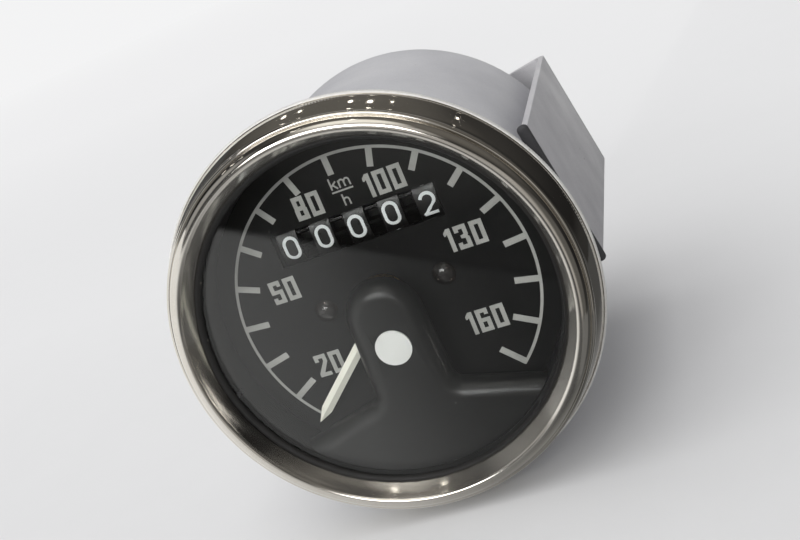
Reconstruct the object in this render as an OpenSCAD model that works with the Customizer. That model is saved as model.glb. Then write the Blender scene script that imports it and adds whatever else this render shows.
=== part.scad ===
// Panel-mounted magnetic speedometer with a five-figure distance counter.
// The face looks along -Y, +X is to its right and +Z is up. The origin lies on the axis,
// in the plane where the bezel seats on the panel.

/* [Case] */
// Outer radius of the drawn can
can_r = 37.4; // [36.8:0.1:39]
// Sheet thickness of the can
can_wall = 1; // [0.8:0.1:1.2]
// Depth of the can behind the panel seat
can_len = 66; // [65:0.5:67.5]
// Outer radius of the can's rear corner
can_corner_r = 5; // [4:0.5:8]
// Width of the can's front flange beyond its wall
flange_w = 3.9; // [3.6:0.1:4.4]

/* [Bezel and lens] */
// Sheet thickness of the bezel
bezel_wall = 0.9; // [0.7:0.1:1]
// Gap between the can's flange and the bezel's skirt
seam_gap = 0.2; // [0.1:0.05:0.4]
// Height of the bezel's crest in front of the panel seat
bezel_rise = 9.6; // [9:0.1:11]
// Height of the shoulder where the skirt ends
shoulder_rise = 6.9; // [6.4:0.1:7.4]
// How much the skirt narrows from its rear edge to the shoulder
skirt_draft = 1.4; // [1:0.1:1.8]
// How far the knurled rear rim stands out from the skirt
rim_over = 0.6; // [0.4:0.1:1]
// Height of the knurled rear rim
rim_h = 1.1; // [0.8:0.1:1.5]
// How far the bezel's inner lip reaches inside the can's outer radius
lip_reach = 2; // [1.6:0.1:2.4]
// Thickness of the flat glass
lens_t = 1.6; // [1.4:0.1:1.8]
// Thickness of the rubber gasket under the glass
gasket_t = 0.8; // [0.6:0.1:1]

/* [Dial] */
// Depth of the dial's face behind the panel seat
dial_depth = 6.05; // [5.8:0.05:6.6]
// Thickness of the dial plate
dial_t = 0.8; // [0.6:0.1:1]
// Wall of the black ring between glass and dial
ring_wall = 1; // [0.8:0.1:1.2]
// Gap between the ring and the can
ring_gap = 0.6; // [0.3:0.1:0.8]
// How much narrower the counter window is than the row of wheels
window_trim = 2; // [1:0.25:3]
// Height of the counter window
window_h = 7; // [6:0.25:8]
// How far the window's middle stands above the counter's axle
window_lift = 0.35; // [0:0.05:0.5]
// Half distance between the two dial screws
dial_screw_x = 12.75; // [12:0.25:14]
// Height of the dial screws above the axis
dial_screw_z = 0.6; // [0:0.1:1]
// Radius of a dial screw's domed head
dial_screw_head_r = 2.4; // [2:0.1:2.8]

/* [Pointer] */
// Angle of the pointer at rest, counter-clockwise from +X seen from the front
rest_angle = 222.5; // [218:0.5:228]
// Gap between the pointer's tip and the ring
tip_gap = 4.25; // [3:0.25:5]
// Half width of the pointer's blade
blade_half = 1.15; // [1:0.05:1.6]
// Height of the blade's ridge above its back
blade_h = 1; // [0.8:0.1:1.2]
// Depth of the blade's back behind the panel seat
blade_depth = 3.2; // [3:0.1:3.4]
// Radius of the pointer's brass boss
boss_r = 5; // [4:0.25:5.5]
// Radius of the pointer's arbor
arbor_r = 0.8; // [0.7:0.05:1]

/* [Pointer mask] */
// Gap between the glass and the mask's front
mask_gap = 1; // [0.8:0.1:1.2]
// Rounding of the mask's front edges
mask_round = 3.6; // [3.2:0.1:3.7]
// Wall of the moulded mask
mask_wall = 1.2; // [1:0.1:1.5]
// Radius of the nose's round tip
nose_r = 7.8; // [7.4:0.1:8]
// Height of the tip's centre
nose_z = -2; // [-2.4:0.1:-1.4]
// Half width of the nose where it meets the shield
nose_foot_half = 8.6; // [8.2:0.1:9]
// Height of that foot
nose_foot_z = -18.6; // [-19.5:0.1:-18]
// Fall of the shield's upper edge towards the ring, in degrees
shield_fall = 15; // [10:0.5:18]
// Fillet where the nose runs into the shield
nose_fillet = 2; // [1:0.1:3]
// Radius of the round disc on the nose
disc_r = 3.65; // [3:0.05:4]
// Height of the disc's centre
disc_z = -7.9; // [-9:0.1:-7]

/* [Counter] */
// Number of figure wheels
wheel_count = 5; // [5:1:5]
// Spacing of the figure wheels, as a share of the can's inner radius
pitch_share = 0.2033; // [0.198:0.0005:0.208]
// Width of a wheel's figure band
figure_band = 4.4; // [4.2:0.1:4.6]
// Radius of the figure band
wheel_r = 9.8; // [9.5:0.1:10]
// Gap between the dial's back and the figure wheels
wheel_gap = 0.5; // [0.4:0.1:0.8]
// Radius of the counter's axle
axle_r = 1.5; // [1.2:0.1:1.8]
// Radius of the transfer pinions' shaft
pinion_shaft_r = 1; // [0.8:0.1:1.2]
// Sheet thickness of the counter's frame
counter_sheet = 1; // [0.8:0.1:1.2]

/* [Gear train] */
// Pitch radius of all three worms
worm_r = 3; // [2.9:0.05:3.1]
// Length of each worm
worm_len = 8; // [7:0.5:9]
// Module of the first worm stage
module_a = 0.6; // [0.55:0.05:0.65]
// Module of the second worm stage
module_b = 0.9; // [0.85:0.05:0.95]
// Module of the third worm stage
module_c = 0.72; // [0.68:0.02:0.76]
// Module of the transfer pinions
module_t = 0.85; // [0.8:0.05:0.9]
// Face width of the worm wheels
wheel_face = 2; // [1.6:0.1:2.4]
// Radius of the cross shaft and the lay shaft
shaft_r = 1.2; // [1:0.1:1.4]
// Running clearance of every shaft in its bearing
run_fit = 0.05; // [0.03:0.01:0.08]

/* [Movement] */
// Gap between the dial's back and the movement's front plate
post_len = 2.55; // [2.4:0.05:2.8]
// Thickness of the front plate
plate_t = 1.5; // [1.2:0.1:1.8]
// Thickness of the rear plate
rear_plate_t = 2.5; // [2:0.25:3]
// Radius of the pillars between the plates
pillar_r = 3; // [2.6:0.1:3.4]
// Outer radius of the drag cup
cup_r = 10.6; // [10:0.1:11]
// Wall of the drag cup
cup_wall = 0.8; // [0.6:0.1:1]
// Depth of the drag cup
cup_len = 7.5; // [7:0.25:8]
// Air gap on either side of the drag cup
air_gap = 0.6; // [0.5:0.1:0.8]
// Wall of the soft-iron return cup
iron_wall = 1.4; // [1.2:0.1:1.8]
// Turns of the hairspring
spring_turns = 3.5; // [3:0.5:5]

/* [Drive] */
// Radius of the input spindle
spindle_r = 2.4; // [2.2:0.1:2.6]
// Width of the square socket for the drive cable
socket_w = 2.7; // [2.4:0.1:2.8]
// Radius of the collar's cable thread
collar_r = 9; // [8.5:0.1:9.5]
// Length of the cable thread
collar_thread_len = 8.5; // [7:0.5:10]
// Wall of the bronze bush
bush_wall = 1.55; // [1.3:0.05:1.8]

/* [Clamp] */
// Angle of the clamp and its studs above the X axis
clamp_angle = 10.3; // [8:0.1:14]
// Sheet thickness of the U-shaped clamp
clamp_t = 1.5; // [1.3:0.1:1.6]
// Width of the clamp's strip
clamp_w = 29; // [28:0.5:31]
// Gap between the can and the clamp's legs
clamp_gap = 1.4; // [1.2:0.1:1.8]
// Depth of the legs' front edges behind the panel seat
leg_depth = 12.6; // [11.5:0.1:13.5]
// Gap between the can's rear face and the clamp's base
base_gap = 9; // [8.8:0.1:10]
// Bend radius of the clamp, measured outside
clamp_bend_r = 2.5; // [2:0.1:3]
// How far the rubber cord on a leg's front edge stands out on either face of the leg
pad_wall = 0.4; // [0.3:0.05:0.6]
// Rubber in front of a leg's edge
pad_front = 2.4; // [2:0.1:3]
// How far the rubber cord reaches back over the leg
pad_grip = 0.6; // [0.4:0.1:1]
// How far the rubber cord's ends stand out past the leg
pad_over = 1; // [0.8:0.1:1.4]
// Radius of the studs
stud_r = 2.5; // [2.3:0.1:2.6]
// Distance of the studs from the can's wall
stud_inset = 12.4; // [11.5:0.1:13]
// Distance across the flats of a stud nut
nut_flats = 8; // [7.5:0.5:9]
// Thickness of a stud nut
nut_t = 4; // [3.5:0.5:5]
// Thickness of a spring washer
washer_t = 1; // [0.8:0.1:1.2]

/* [Lamp] */
// Distance of the dial lamp from the can's wall
lamp_inset = 11.4; // [11:0.1:12]
// Radius of the lamp holder's tube
lamp_r = 5; // [4.5:0.1:5.2]

/* [Hidden] */
$fn = 96;
eps = 0.01;
// How far a cutting body passes beyond a face
cut = 1;

// Radii of the front end, from the can outwards and inwards
can_in_r = can_r - can_wall;
flange_r = can_r + flange_w;
skirt_in_r = flange_r + seam_gap;
skirt_r = skirt_in_r + bezel_wall;
rim_r = skirt_r + rim_over;
shoulder_r = skirt_r - skirt_draft;
lip_r = can_r - lip_reach;
ring_r = can_in_r - ring_gap - ring_wall;
dial_gap = 0.4;
dial_r = can_in_r - dial_gap;
seat_clear = 0.1;

// Depths of the front end, measured from the panel seat towards the rear
flange_y1 = -bezel_wall;
flange_y0 = flange_y1 - can_wall;
ring_flange_t = 0.6;
ring_flange_r = can_r + 1.4;
ring_y0 = flange_y0 - ring_flange_t;
lens_y1 = ring_y0 - gasket_t;
lens_y0 = lens_y1 - lens_t;
lens_gap = 0.6;
lens_r = shoulder_r - bezel_wall - lens_gap;
gasket_step = 1.2;
notch_angle = 193;
notch_w = 1.2;
notch_depth = 2;
dial_y1 = dial_depth + dial_t;
floor_y0 = can_len - can_wall;

// Bezel section
crest_in_r = 0.9;
crest_r = 1.8;
slope_w = 2.95;
crest_at = lip_r + slope_w;
crest_from = 212;
crest_mid = 264;
crest_to = 345;
bead_r = 0.5;
lip_t = 0.5;
lip_w = 1.1;
rim_edge = 0.1;
turn_in_w = rim_r - can_r - 1;
crest_thick = 0.3;

// Pointer and mask
pointer_len = ring_r - tip_gap;
blade_y0 = blade_depth - blade_h;
blade_side = 0.35;
blade_tip = 3;
arbor_over = 1.4;
arbor_y0 = blade_y0 - arbor_over;
hub_r = 3.4;
hub_rise = 0.6;
boss_gap = 0.4;
boss_step = 0.6;
mask_y0 = lens_y1 + mask_gap;
mask_edge = 0.1;
mask_y1 = mask_y0 + mask_round + mask_edge;
mask_pin_r = 1.2;
mask_pin_inset = 4;
mask_pin_angle = -63;
mask_pin_x = (ring_r - mask_pin_inset) * cos(mask_pin_angle);
mask_pin_z = (ring_r - mask_pin_inset) * sin(mask_pin_angle);
mask_pin_over = 0.6;
disc_t = 0.5;
disc_proud = 0.25;

// Movement plates
plate_y0 = dial_y1 + post_len;
plate_y1 = plate_y0 + plate_t;
plate_gap = 0.8;
plate_r = can_in_r - plate_gap;
plate_top = 5.5;
lobe_over = 0.6;
pillar_gap = 0.5;
pillar_at = can_in_r - pillar_gap - lobe_over - pillar_r;
low_pillar_angle = -112.8;
lug_x0 = -10;
lug_w = 3;
lug_r = 3;
lug_web = 5;
small_screw_r = 0.8;
small_head_r = 1.9;
small_head_t = 1;
screw_clear = 0.1;
screw_grip = 5;
tap_depth = 8;
slot_w = 0.5;
slot_d = 0.5;
dial_head_t = 1.1;
dial_screw_grip = 0.8;
post_r = 2.4;
pivot_bush_r = 2;
pivot_bush_over = 0.7;
light_gap = 3;

// Counter: axle place, gear band and side plates
wheel_pitch = pitch_share * can_in_r;
window_w = wheel_pitch * wheel_count - window_trim;
counter_y = dial_y1 + wheel_gap + wheel_r;
band_gap = 0.1;
side_gap = 0.3;
band_w = wheel_pitch - figure_band - band_gap - side_gap;
gear_w = wheel_face;
wheel_x0 = -wheel_pitch * (wheel_count - 1) / 2 - figure_band / 2;
counter_right = wheel_x0 + wheel_pitch * wheel_count;
gear_stand = 0.8;
gear_hub_r = 4;
gear_x0 = counter_right + gear_stand;
gear_x = gear_x0 + gear_w / 2;
cheek_left = wheel_x0 - side_gap - counter_sheet;
cheek_right = gear_x0 + gear_w + gear_stand;
transfer_teeth = 20;
pinion_teeth = 8;
transfer_r = module_t * transfer_teeth / 2;
pinion_r = module_t * pinion_teeth / 2;
pinion_dir = 20;

// Worm stages: teeth, pitch radii and the places of the shafts
teeth_a = 20;
teeth_b = 20;
teeth_c = 25;
pitch_a = module_a * teeth_a / 2;
pitch_b = module_b * teeth_b / 2;
pitch_c = module_c * teeth_c / 2;
cross_z = -(worm_r + pitch_a);
pillar_x = sqrt(pillar_at * pillar_at - cross_z * cross_z);
pillars = [[-pillar_x, cross_z], [pillar_x, cross_z],
    [pillar_at * cos(low_pillar_angle), pillar_at * sin(low_pillar_angle)]];
bearing_skin = 0.4;
bearing_wall = 1.2;
cross_x0 = lug_x0 + bearing_skin;
cross_x1 = pillar_x - bearing_wall;
lay_z = cross_z + worm_r + pitch_b;
counter_z = lay_z + worm_r + pitch_c;
lay_x = gear_x;
window_z = counter_z + window_lift;
pinion_y = counter_y + (transfer_r + pinion_r) * cos(pinion_dir);
pinion_z = counter_z + (transfer_r + pinion_r) * sin(pinion_dir);
tooth_root = 0.42;
tooth_tip = 0.18;
root_clear = 0.25;

// Magnet, drag cup and return cup, stacked behind the counter
cup_clear = 1.5;
cup_y0 = counter_y + wheel_r + cup_clear;
cup_y1 = cup_y0 + cup_len;
magnet_r = cup_r - cup_wall - air_gap;
magnet_gap = 1.2;
magnet_over = 0.2;
magnet_y0 = cup_y0 + cup_wall + magnet_gap;
magnet_y1 = cup_y1 + magnet_over;
cup_hub = 1.2;
iron_r0 = cup_r + air_gap;
shoulder_len = 0.8;
iron_set = 1;
iron_y0 = magnet_y1 + shoulder_len;
nose_shaft_r = 2;
shoulder_shaft_r = 4;
pivot_r = 0.5;
pivot_len = 2.5;
pivot_inset = 3.4;
end_play = 0.3;
thrust_gap = 0.2;
spindle_y0 = magnet_y0 + pivot_inset;
thrust_t = 1.2;
thrust_r = 3.8;

// Gear train behind the return cup, then the rear plate and the collar's flange on the can's floor
train_clear = 0.6;
train_gap = 7.4;
train_y = iron_y0 + iron_wall + train_clear + pitch_a + module_a;
rear_y0 = train_y + train_gap;
rear_y1 = rear_y0 + rear_plate_t;
rear_plate_inset = 11.4;
rear_r = can_in_r - rear_plate_inset;
thrust_y1 = rear_y0 - thrust_gap;

// Hairspring
collet_r = 1.7;
collet_over = 0.2;
spring_strip = 0.25;
spring_w = 1;
spring_r = 4.5;
spring_y0 = plate_y1 + 1.5;
spring_post_r = 0.6;

// Drive collar
bush_r = spindle_r + run_fit + bush_wall;
collar_len = 20;
collar_y1 = can_len + collar_len;
thread_relief = 0.4;
collar_shank_r = collar_r - thread_relief;
collar_mouth_r = 6.5;
collar_mouth = 5;
collar_flange_r = 11;
spindle_inset = 2;
spindle_y1 = collar_y1 - spindle_inset;
socket_depth = 12;
floor_hole_r = collar_r + seat_clear;

// Rear fixings, in the clamp's own directions
rear_screw_n = 9;
rear_screw_inset = 17.4;
rear_screw_t = can_in_r - rear_screw_inset;
rear_boss_r = 3.2;
rear_head_r = 2.8;
rear_head_t = 1.6;
rear_screw_r = 1.2;
rear_slot_w = 0.7;
rear_slot_d = 0.8;

// Clamp
leg_in = can_r + clamp_gap;
stud_at = can_in_r - stud_inset;
leg_out = leg_in + clamp_t;
leg_mid = (leg_in + leg_out) / 2;
base_y0 = can_len + base_gap;
base_y1 = base_y0 + clamp_t;
clamp_hole_r = 12;
stud_clear = 0.4;
nut_fit = 0.1;
pad_y0 = leg_depth - pad_front;
pad_end_r = (pad_front + pad_grip) / 2;
pad_half = clamp_w / 2 + pad_over - pad_end_r;
washer_w = 1.8;
washer_split = 0.6;
washer_r = stud_r + washer_w;
nut_y0 = base_y1 + washer_t;
stud_spare = 6;
stud_y1 = nut_y0 + nut_t + stud_spare;
stud_head_w = 2;
stud_head_r = stud_r + stud_head_w;
stud_head_t = 2.5;
nut_round = 0.56;

// Lamp
lamp_at = can_in_r - lamp_inset;
lamp_flange_w = 1.5;
lamp_flange_r = lamp_r + lamp_flange_w;
lamp_flange_t = 1.2;
lamp_tube = 12;
lamp_wall = 1;
lamp_floor = 3;
lamp_blade = [4.8, 10, 0.8];
lamp_hole = 1;
bulb_r = 3.4;
bulb_fit = 0.2;
bulb_cap = 3;
bulb_stand = 5;

// Points of an arc from angle a0 to a1
function arc(c, r, a0, a1, n = 8) =
    [for (i = [0:n]) let (a = a0 + (a1 - a0) * i / n) [c[0] + r * cos(a), c[1] + r * sin(a)]];

// Turns a section of radius and depth about the gauge's axis
module turned() rotate([-90, 0, 0]) rotate_extrude() children();

// A face drawing of x and z, made solid between two depths
module sheet(y0, y1) translate([0, y1, 0]) rotate([90, 0, 0]) linear_extrude(y1 - y0) children();

// A rod along the gauge's axis between two depths
module rod(x, z, y0, y1, r) translate([x, y0, z]) rotate([-90, 0, 0]) cylinder(h = y1 - y0, r = r);

// A rod across the gauge between two values of x
module cross_rod(x0, x1, y, z, r) translate([x0, y, z]) rotate([0, 90, 0]) cylinder(h = x1 - x0, r = r);

// Turns the clamp's own directions into the gauge's: n along the studs, t across them
module clamp_frame() rotate([0, -clamp_angle, 0]) children();

// Outline of a straight-sided gear with a tooth gap at angle 0
module gear_outline(teeth, pitch, mod) {
    step = 360 / teeth;
    tip = pitch + mod;
    root = pitch - mod - root_clear;
    polygon([for (i = [0:teeth - 1], k = [[root, -tooth_root], [tip, -tooth_tip], [tip, tooth_tip],
        [root, tooth_root]]) let (a = (i + 0.5 + k[1] / 2) * step) [k[0] * cos(a), k[0] * sin(a)]]);
}

// A single-start right-hand worm along Z, centred, with its thread at mid-length towards angle aim
module worm(mod, aim) {
    lead = PI * mod;
    root = worm_r - mod - root_clear;
    tip = worm_r + mod;
    turns = worm_len / lead;
    crown = arc([0, 0], tip, -tooth_tip * 180, tooth_tip * 180, 2);
    core = arc([0, 0], root, tooth_root * 180, 360 - tooth_root * 180, 7);
    rotate([0, 0, aim - 180 * turns])
        linear_extrude(worm_len, center = true, twist = -360 * turns, slices = ceil(turns * 12), $fn = 8)
            polygon(concat(crown, core));
}

// Case
module can() color("silver") difference() {
    turned() difference() {
        union() {
            translate([0, flange_y0]) square([flange_r, can_wall]);
            translate([0, flange_y0]) square([can_r, can_len - can_corner_r - flange_y0]);
            translate([0, flange_y0]) square([can_r - can_corner_r, can_len - flange_y0]);
            translate([can_r - can_corner_r, can_len - can_corner_r]) intersection() {
                circle(can_corner_r);
                square(can_corner_r);
            }
        }
        translate([0, flange_y0 - cut]) square([can_in_r, can_len - can_corner_r - flange_y0 + cut]);
        translate([0, flange_y0 - cut]) square([can_r - can_corner_r, floor_y0 - flange_y0 + cut]);
        translate([can_r - can_corner_r, can_len - can_corner_r]) intersection() {
            circle(can_corner_r - can_wall);
            square(can_corner_r);
        }
    }
    rod(0, 0, floor_y0 - cut, can_len + cut, floor_hole_r);
    clamp_frame() {
        for (s = [-1, 1]) rod(s * stud_at, 0, floor_y0 - cut, can_len + cut, stud_r);
        rear_screw_places() rod(0, 0, floor_y0 - cut, can_len + cut, rear_screw_r + screw_clear);
        rod(0, -lamp_at, floor_y0 - cut, can_len + cut, lamp_r);
    }
}

module rear_screw_places() for (n = [-1, 1], t = [-1, 1])
    translate([n * rear_screw_n, 0, t * rear_screw_t]) children();

// Rolled sheet ring: lip, slope, rounded crest, bead, skirt, knurled rim and rear crimp
module bezel() color("gainsboro") turned() polygon(concat(
    [[lip_r, lens_y0], [lip_r, lens_y0 - lip_t]],
    arc([crest_at, crest_in_r - bezel_rise], crest_in_r, crest_from, crest_mid, 5),
    arc([crest_at, crest_r - bezel_rise], crest_r, 270, crest_to, 8),
    arc([shoulder_r - bead_r, -shoulder_rise - bead_r], bead_r, 235, 360, 8),
    [[shoulder_r, -shoulder_rise], [skirt_r, -rim_h - rim_edge], [rim_r - rim_edge, -rim_h],
        [rim_r, rim_edge - rim_h], [rim_r, -rim_edge], [rim_r - rim_edge, 0], [rim_r - turn_in_w, 0],
        [rim_r - turn_in_w, flange_y1], [skirt_in_r, flange_y1], [skirt_in_r, -rim_h - rim_edge],
        [shoulder_r - bezel_wall, crest_thick - shoulder_rise]],
    arc([crest_at, crest_r - bezel_rise], crest_r - bezel_wall + crest_thick, crest_to, 270, 5),
    arc([crest_at, crest_in_r - bezel_rise], crest_in_r - bezel_wall + crest_thick, crest_mid, crest_from, 4),
    [[lip_r + lip_w, lens_y0]]));

module lens() color("azure", 0.35) turned() translate([0, lens_y0]) square([lens_r, lens_t]);

// L-shaped rubber ring between glass, ring flange and can flange
module lens_gasket() color("dimgray") turned() polygon([[ring_r + gasket_step, lens_y1], [lens_r, lens_y1],
    [lens_r, flange_y0], [ring_flange_r + seat_clear, flange_y0], [ring_flange_r + seat_clear, ring_y0],
    [ring_r + gasket_step, ring_y0]]);

// Black wall between glass and dial, hung on the can's flange, with a keying notch
module inner_ring() color("black") difference() {
    turned() polygon([[ring_r, ring_y0], [ring_flange_r, ring_y0], [ring_flange_r, flange_y0],
        [ring_r + ring_wall, flange_y0], [ring_r + ring_wall, dial_depth], [ring_r, dial_depth]]);
    rotate([0, -notch_angle, 0]) translate([ring_r - cut, ring_y0 - cut, -notch_w / 2])
        cube([ring_wall + ring_gap + cut, notch_depth + cut, notch_w]);
}

// Dial
module dial_screw_places() for (s = [-1, 1]) translate([s * dial_screw_x, 0, dial_screw_z]) children();

module dial_plate() color("black") difference() {
    sheet(dial_depth, dial_y1) difference() {
        circle(dial_r);
        translate([-window_w / 2, window_z - window_h / 2]) square([window_w, window_h]);
        circle(pivot_bush_r + dial_gap);
        for (s = [-1, 1]) translate([s * mask_pin_x, mask_pin_z]) circle(mask_pin_r + run_fit);
    }
    dial_screw_places() rod(0, 0, dial_depth - cut, dial_y1 + cut, small_screw_r + screw_clear);
}

// A slotted screw with a domed head in front of depth y
module dome_screw(y, head_r, head_t, length) {
    ball = (head_r * head_r + head_t * head_t) / (2 * head_t);
    difference() {
        union() {
            intersection() {
                translate([0, y - head_t + ball, 0]) sphere(ball);
                rod(0, 0, y - head_t - cut, y, head_r);
            }
            rod(0, 0, y - eps, y + length, small_screw_r);
        }
        translate([-head_r, y - head_t - cut, -slot_w / 2]) cube([2 * head_r, slot_d + cut, slot_w]);
    }
}

module dial_screws() color("black") dial_screw_places()
    dome_screw(dial_depth, dial_screw_head_r, dial_head_t, dial_t + post_len + dial_screw_grip);

// Outline of the pointer mask: the nose's tip, the fillet at its foot, the shield's upper edge and
// the rim along the ring, worked out on the right and mirrored
function dir(a) = [cos(a), sin(a)];
nose_c = [0, nose_z];
nose_foot = [nose_foot_half, nose_foot_z];
side_angle = atan2(nose_foot_z - nose_z, nose_foot_half) + acos(nose_r / norm(nose_foot - nose_c));
edge_angle = 90 - shield_fall;
fillet_c = nose_foot + nose_fillet * (dir(side_angle) + dir(edge_angle))
    / (1 + dir(side_angle) * dir(edge_angle));
rim_angle_end = -90;

// Place on the rim where the shield's upper edge, drawn in by a distance, runs out
function rim_angle(inset, r) = let (p = nose_foot - inset * dir(edge_angle), u = dir(-shield_fall),
    e = p + (sqrt((p * u) * (p * u) - p * p + r * r) - p * u) * u) atan2(e[1], e[0]);

// Ring of the outline at a depth, drawn in by a distance, with its rim drawn in by another
function mask_ring(inset, rim, y) = let (r = ring_r - seat_clear - rim, half = concat(
    arc(nose_c, nose_r - inset, 90, side_angle, 10),
    arc(fillet_c, nose_fillet + inset, side_angle + 180, edge_angle + 180, 6),
    arc([0, 0], r, rim_angle(inset, r), rim_angle_end, 12)))
    [for (i = [0:2 * len(half) - 3]) let (k = len(half) - 1, p = half[i <= k ? i : 2 * k - i])
        [i <= k ? p[0] : -p[0], y, p[1]]];

// Rings from the front face round to the open back edge, at a given rounding
function mask_rings(r) = let (rim = mask_round - r) concat(
    [for (t = [0:15:90]) mask_ring(mask_round - r * sin(t), rim, mask_y0 + mask_round - r * cos(t))],
    [mask_ring(rim, rim, mask_y1)]);

// Level strips between the mirrored halves of a ring of n points that starts at point a
function strips(a, n) = concat([[a, a + 1, a + n - 1]],
    [for (i = [1:n / 2 - 2]) [a + i, a + i + 1, a + n - i - 1, a + n - i]],
    [[a + n / 2 - 1, a + n / 2, a + n / 2 + 1]]);
function flipped(faces) = [for (f = faces) [for (i = [len(f) - 1:-1:0]) f[i]]];

// Moulded shell with a round front edge and an open back
module mask_shell() {
    outer = mask_rings(mask_round);
    inner = mask_rings(mask_round - mask_wall);
    loops = concat(outer, [for (i = [len(inner) - 1:-1:0]) inner[i]]);
    n = len(outer[0]);
    last = len(loops) - 1;
    polyhedron([for (loop = loops, p = loop) p], concat(
        strips(0, n),
        [for (k = [0:last - 1], i = [0:n - 1], half = [0, 1])
            let (a = k * n + i, b = k * n + (i + 1) % n) half == 0 ? [a, b + n, b] : [a, a + n, b + n]],
        flipped(strips(last * n, n))));
}

module pointer_mask() color([0.1, 0.1, 0.1]) difference() {
    union() {
        mask_shell();
        for (s = [-1, 1])
            rod(s * mask_pin_x, mask_pin_z, mask_y0 + mask_wall / 2, dial_y1 + mask_pin_over, mask_pin_r);
    }
    rod(0, disc_z, mask_y0 - cut, mask_y0 - disc_proud + disc_t, disc_r + run_fit);
}

module mask_disc() color("white")
    rod(0, disc_z, mask_y0 - disc_proud, mask_y0 - disc_proud + disc_t, disc_r);

// Pointer group
module pointer() color("ivory") rotate([0, -rest_angle, 0]) difference() {
    union() {
        intersection() {
            rotate([90, 0, 90]) linear_extrude(pointer_len)
                polygon([[blade_depth, -blade_half], [blade_depth, blade_half], [blade_depth - blade_side,
                    blade_half], [blade_y0, 0], [blade_depth - blade_side, -blade_half]]);
            sheet(blade_y0 - cut, blade_depth + cut) polygon([[0, -blade_half], [pointer_len - blade_tip,
                -blade_half], [pointer_len, 0], [pointer_len - blade_tip, blade_half], [0, blade_half]]);
        }
        rod(0, 0, blade_y0 - hub_rise, blade_depth, hub_r);
    }
    rod(0, 0, arbor_y0 - cut, blade_depth + cut, arbor_r);
}

module pointer_boss() color("goldenrod") difference() {
    union() {
        rod(0, 0, blade_depth, dial_depth - boss_gap - boss_step, boss_r);
        rod(0, 0, blade_depth, dial_depth - boss_gap, pivot_bush_r);
    }
    rod(0, 0, blade_depth - cut, dial_depth, arbor_r);
}

module pointer_arbor() color("silver") {
    rod(0, 0, arbor_y0, spindle_y0 - end_play, arbor_r);
    rod(0, 0, spindle_y0 - end_play, spindle_y0 - end_play + pivot_len, pivot_r);
    rod(0, 0, spring_y0 - collet_over, spring_y0 + spring_w + collet_over, collet_r);
}

module drag_cup() color("lightgray") difference() {
    union() {
        rod(0, 0, cup_y0, cup_y1, cup_r);
        rod(0, 0, cup_y0 - cup_hub, cup_y0, collet_r);
    }
    rod(0, 0, cup_y0 + cup_wall, cup_y1 + cut, cup_r - cup_wall);
    rod(0, 0, cup_y0 - cup_hub - cut, cup_y1, arbor_r);
}

module hairspring() color("peru") {
    start = collet_r + spring_strip / 2 + run_fit;
    steps = ceil(spring_turns * 24);
    path = [for (i = [0:steps]) [start + (spring_r - start) * i / steps, 360 * spring_turns * i / steps]];
    sheet(spring_y0, spring_y0 + spring_w) polygon(concat(
        [for (p = path) (p[0] + spring_strip / 2) * [cos(p[1]), sin(p[1])]],
        [for (i = [steps:-1:0]) (path[i][0] - spring_strip / 2) * [cos(path[i][1]), sin(path[i][1])]]));
}

// Movement plates
module pillar_places() for (p = pillars) translate([p[0], 0, p[1]]) children();

module front_plate() color("darkgray") difference() {
    union() {
        sheet(plate_y0, plate_y1) difference() {
            intersection() {
                circle(plate_r);
                translate([-plate_r, -plate_r]) square([2 * plate_r, plate_r + plate_top]);
            }
            rotate(clamp_angle) translate([0, -lamp_at]) circle(lamp_r + light_gap);
        }
        dial_screw_places() rod(0, 0, dial_y1, plate_y0 + eps, post_r);
        rotate([0, -360 * spring_turns, 0])
            rod(spring_r + spring_strip / 2 + run_fit + spring_post_r, 0, plate_y1 - eps,
                spring_y0 + spring_w, spring_post_r);
    }
    dial_screw_places() rod(0, 0, dial_y1 - cut, plate_y1 + cut, small_screw_r);
    rod(0, 0, plate_y0 - cut, plate_y1 + cut, pivot_bush_r);
    rod(lay_x, lay_z, plate_y0 - cut, plate_y1 + cut, shaft_r + run_fit);
    pillar_places() rod(0, 0, plate_y0 - cut, plate_y1 + cut, small_screw_r + screw_clear);
    for (x = foot_screw_x) rod(x, foot_screw_z, plate_y0 - cut, plate_y1 + cut, small_screw_r + screw_clear);
}

module front_plate_screws() color("silver") pillar_places()
    dome_screw(plate_y0, small_head_r, small_head_t, plate_t + screw_grip);

module pivot_bush() color("goldenrod") difference() {
    rod(0, 0, plate_y0 - pivot_bush_over, plate_y1 + pivot_bush_over, pivot_bush_r);
    rod(0, 0, plate_y0 - pivot_bush_over - cut, plate_y1 + pivot_bush_over + cut, arbor_r + run_fit);
}

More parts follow.
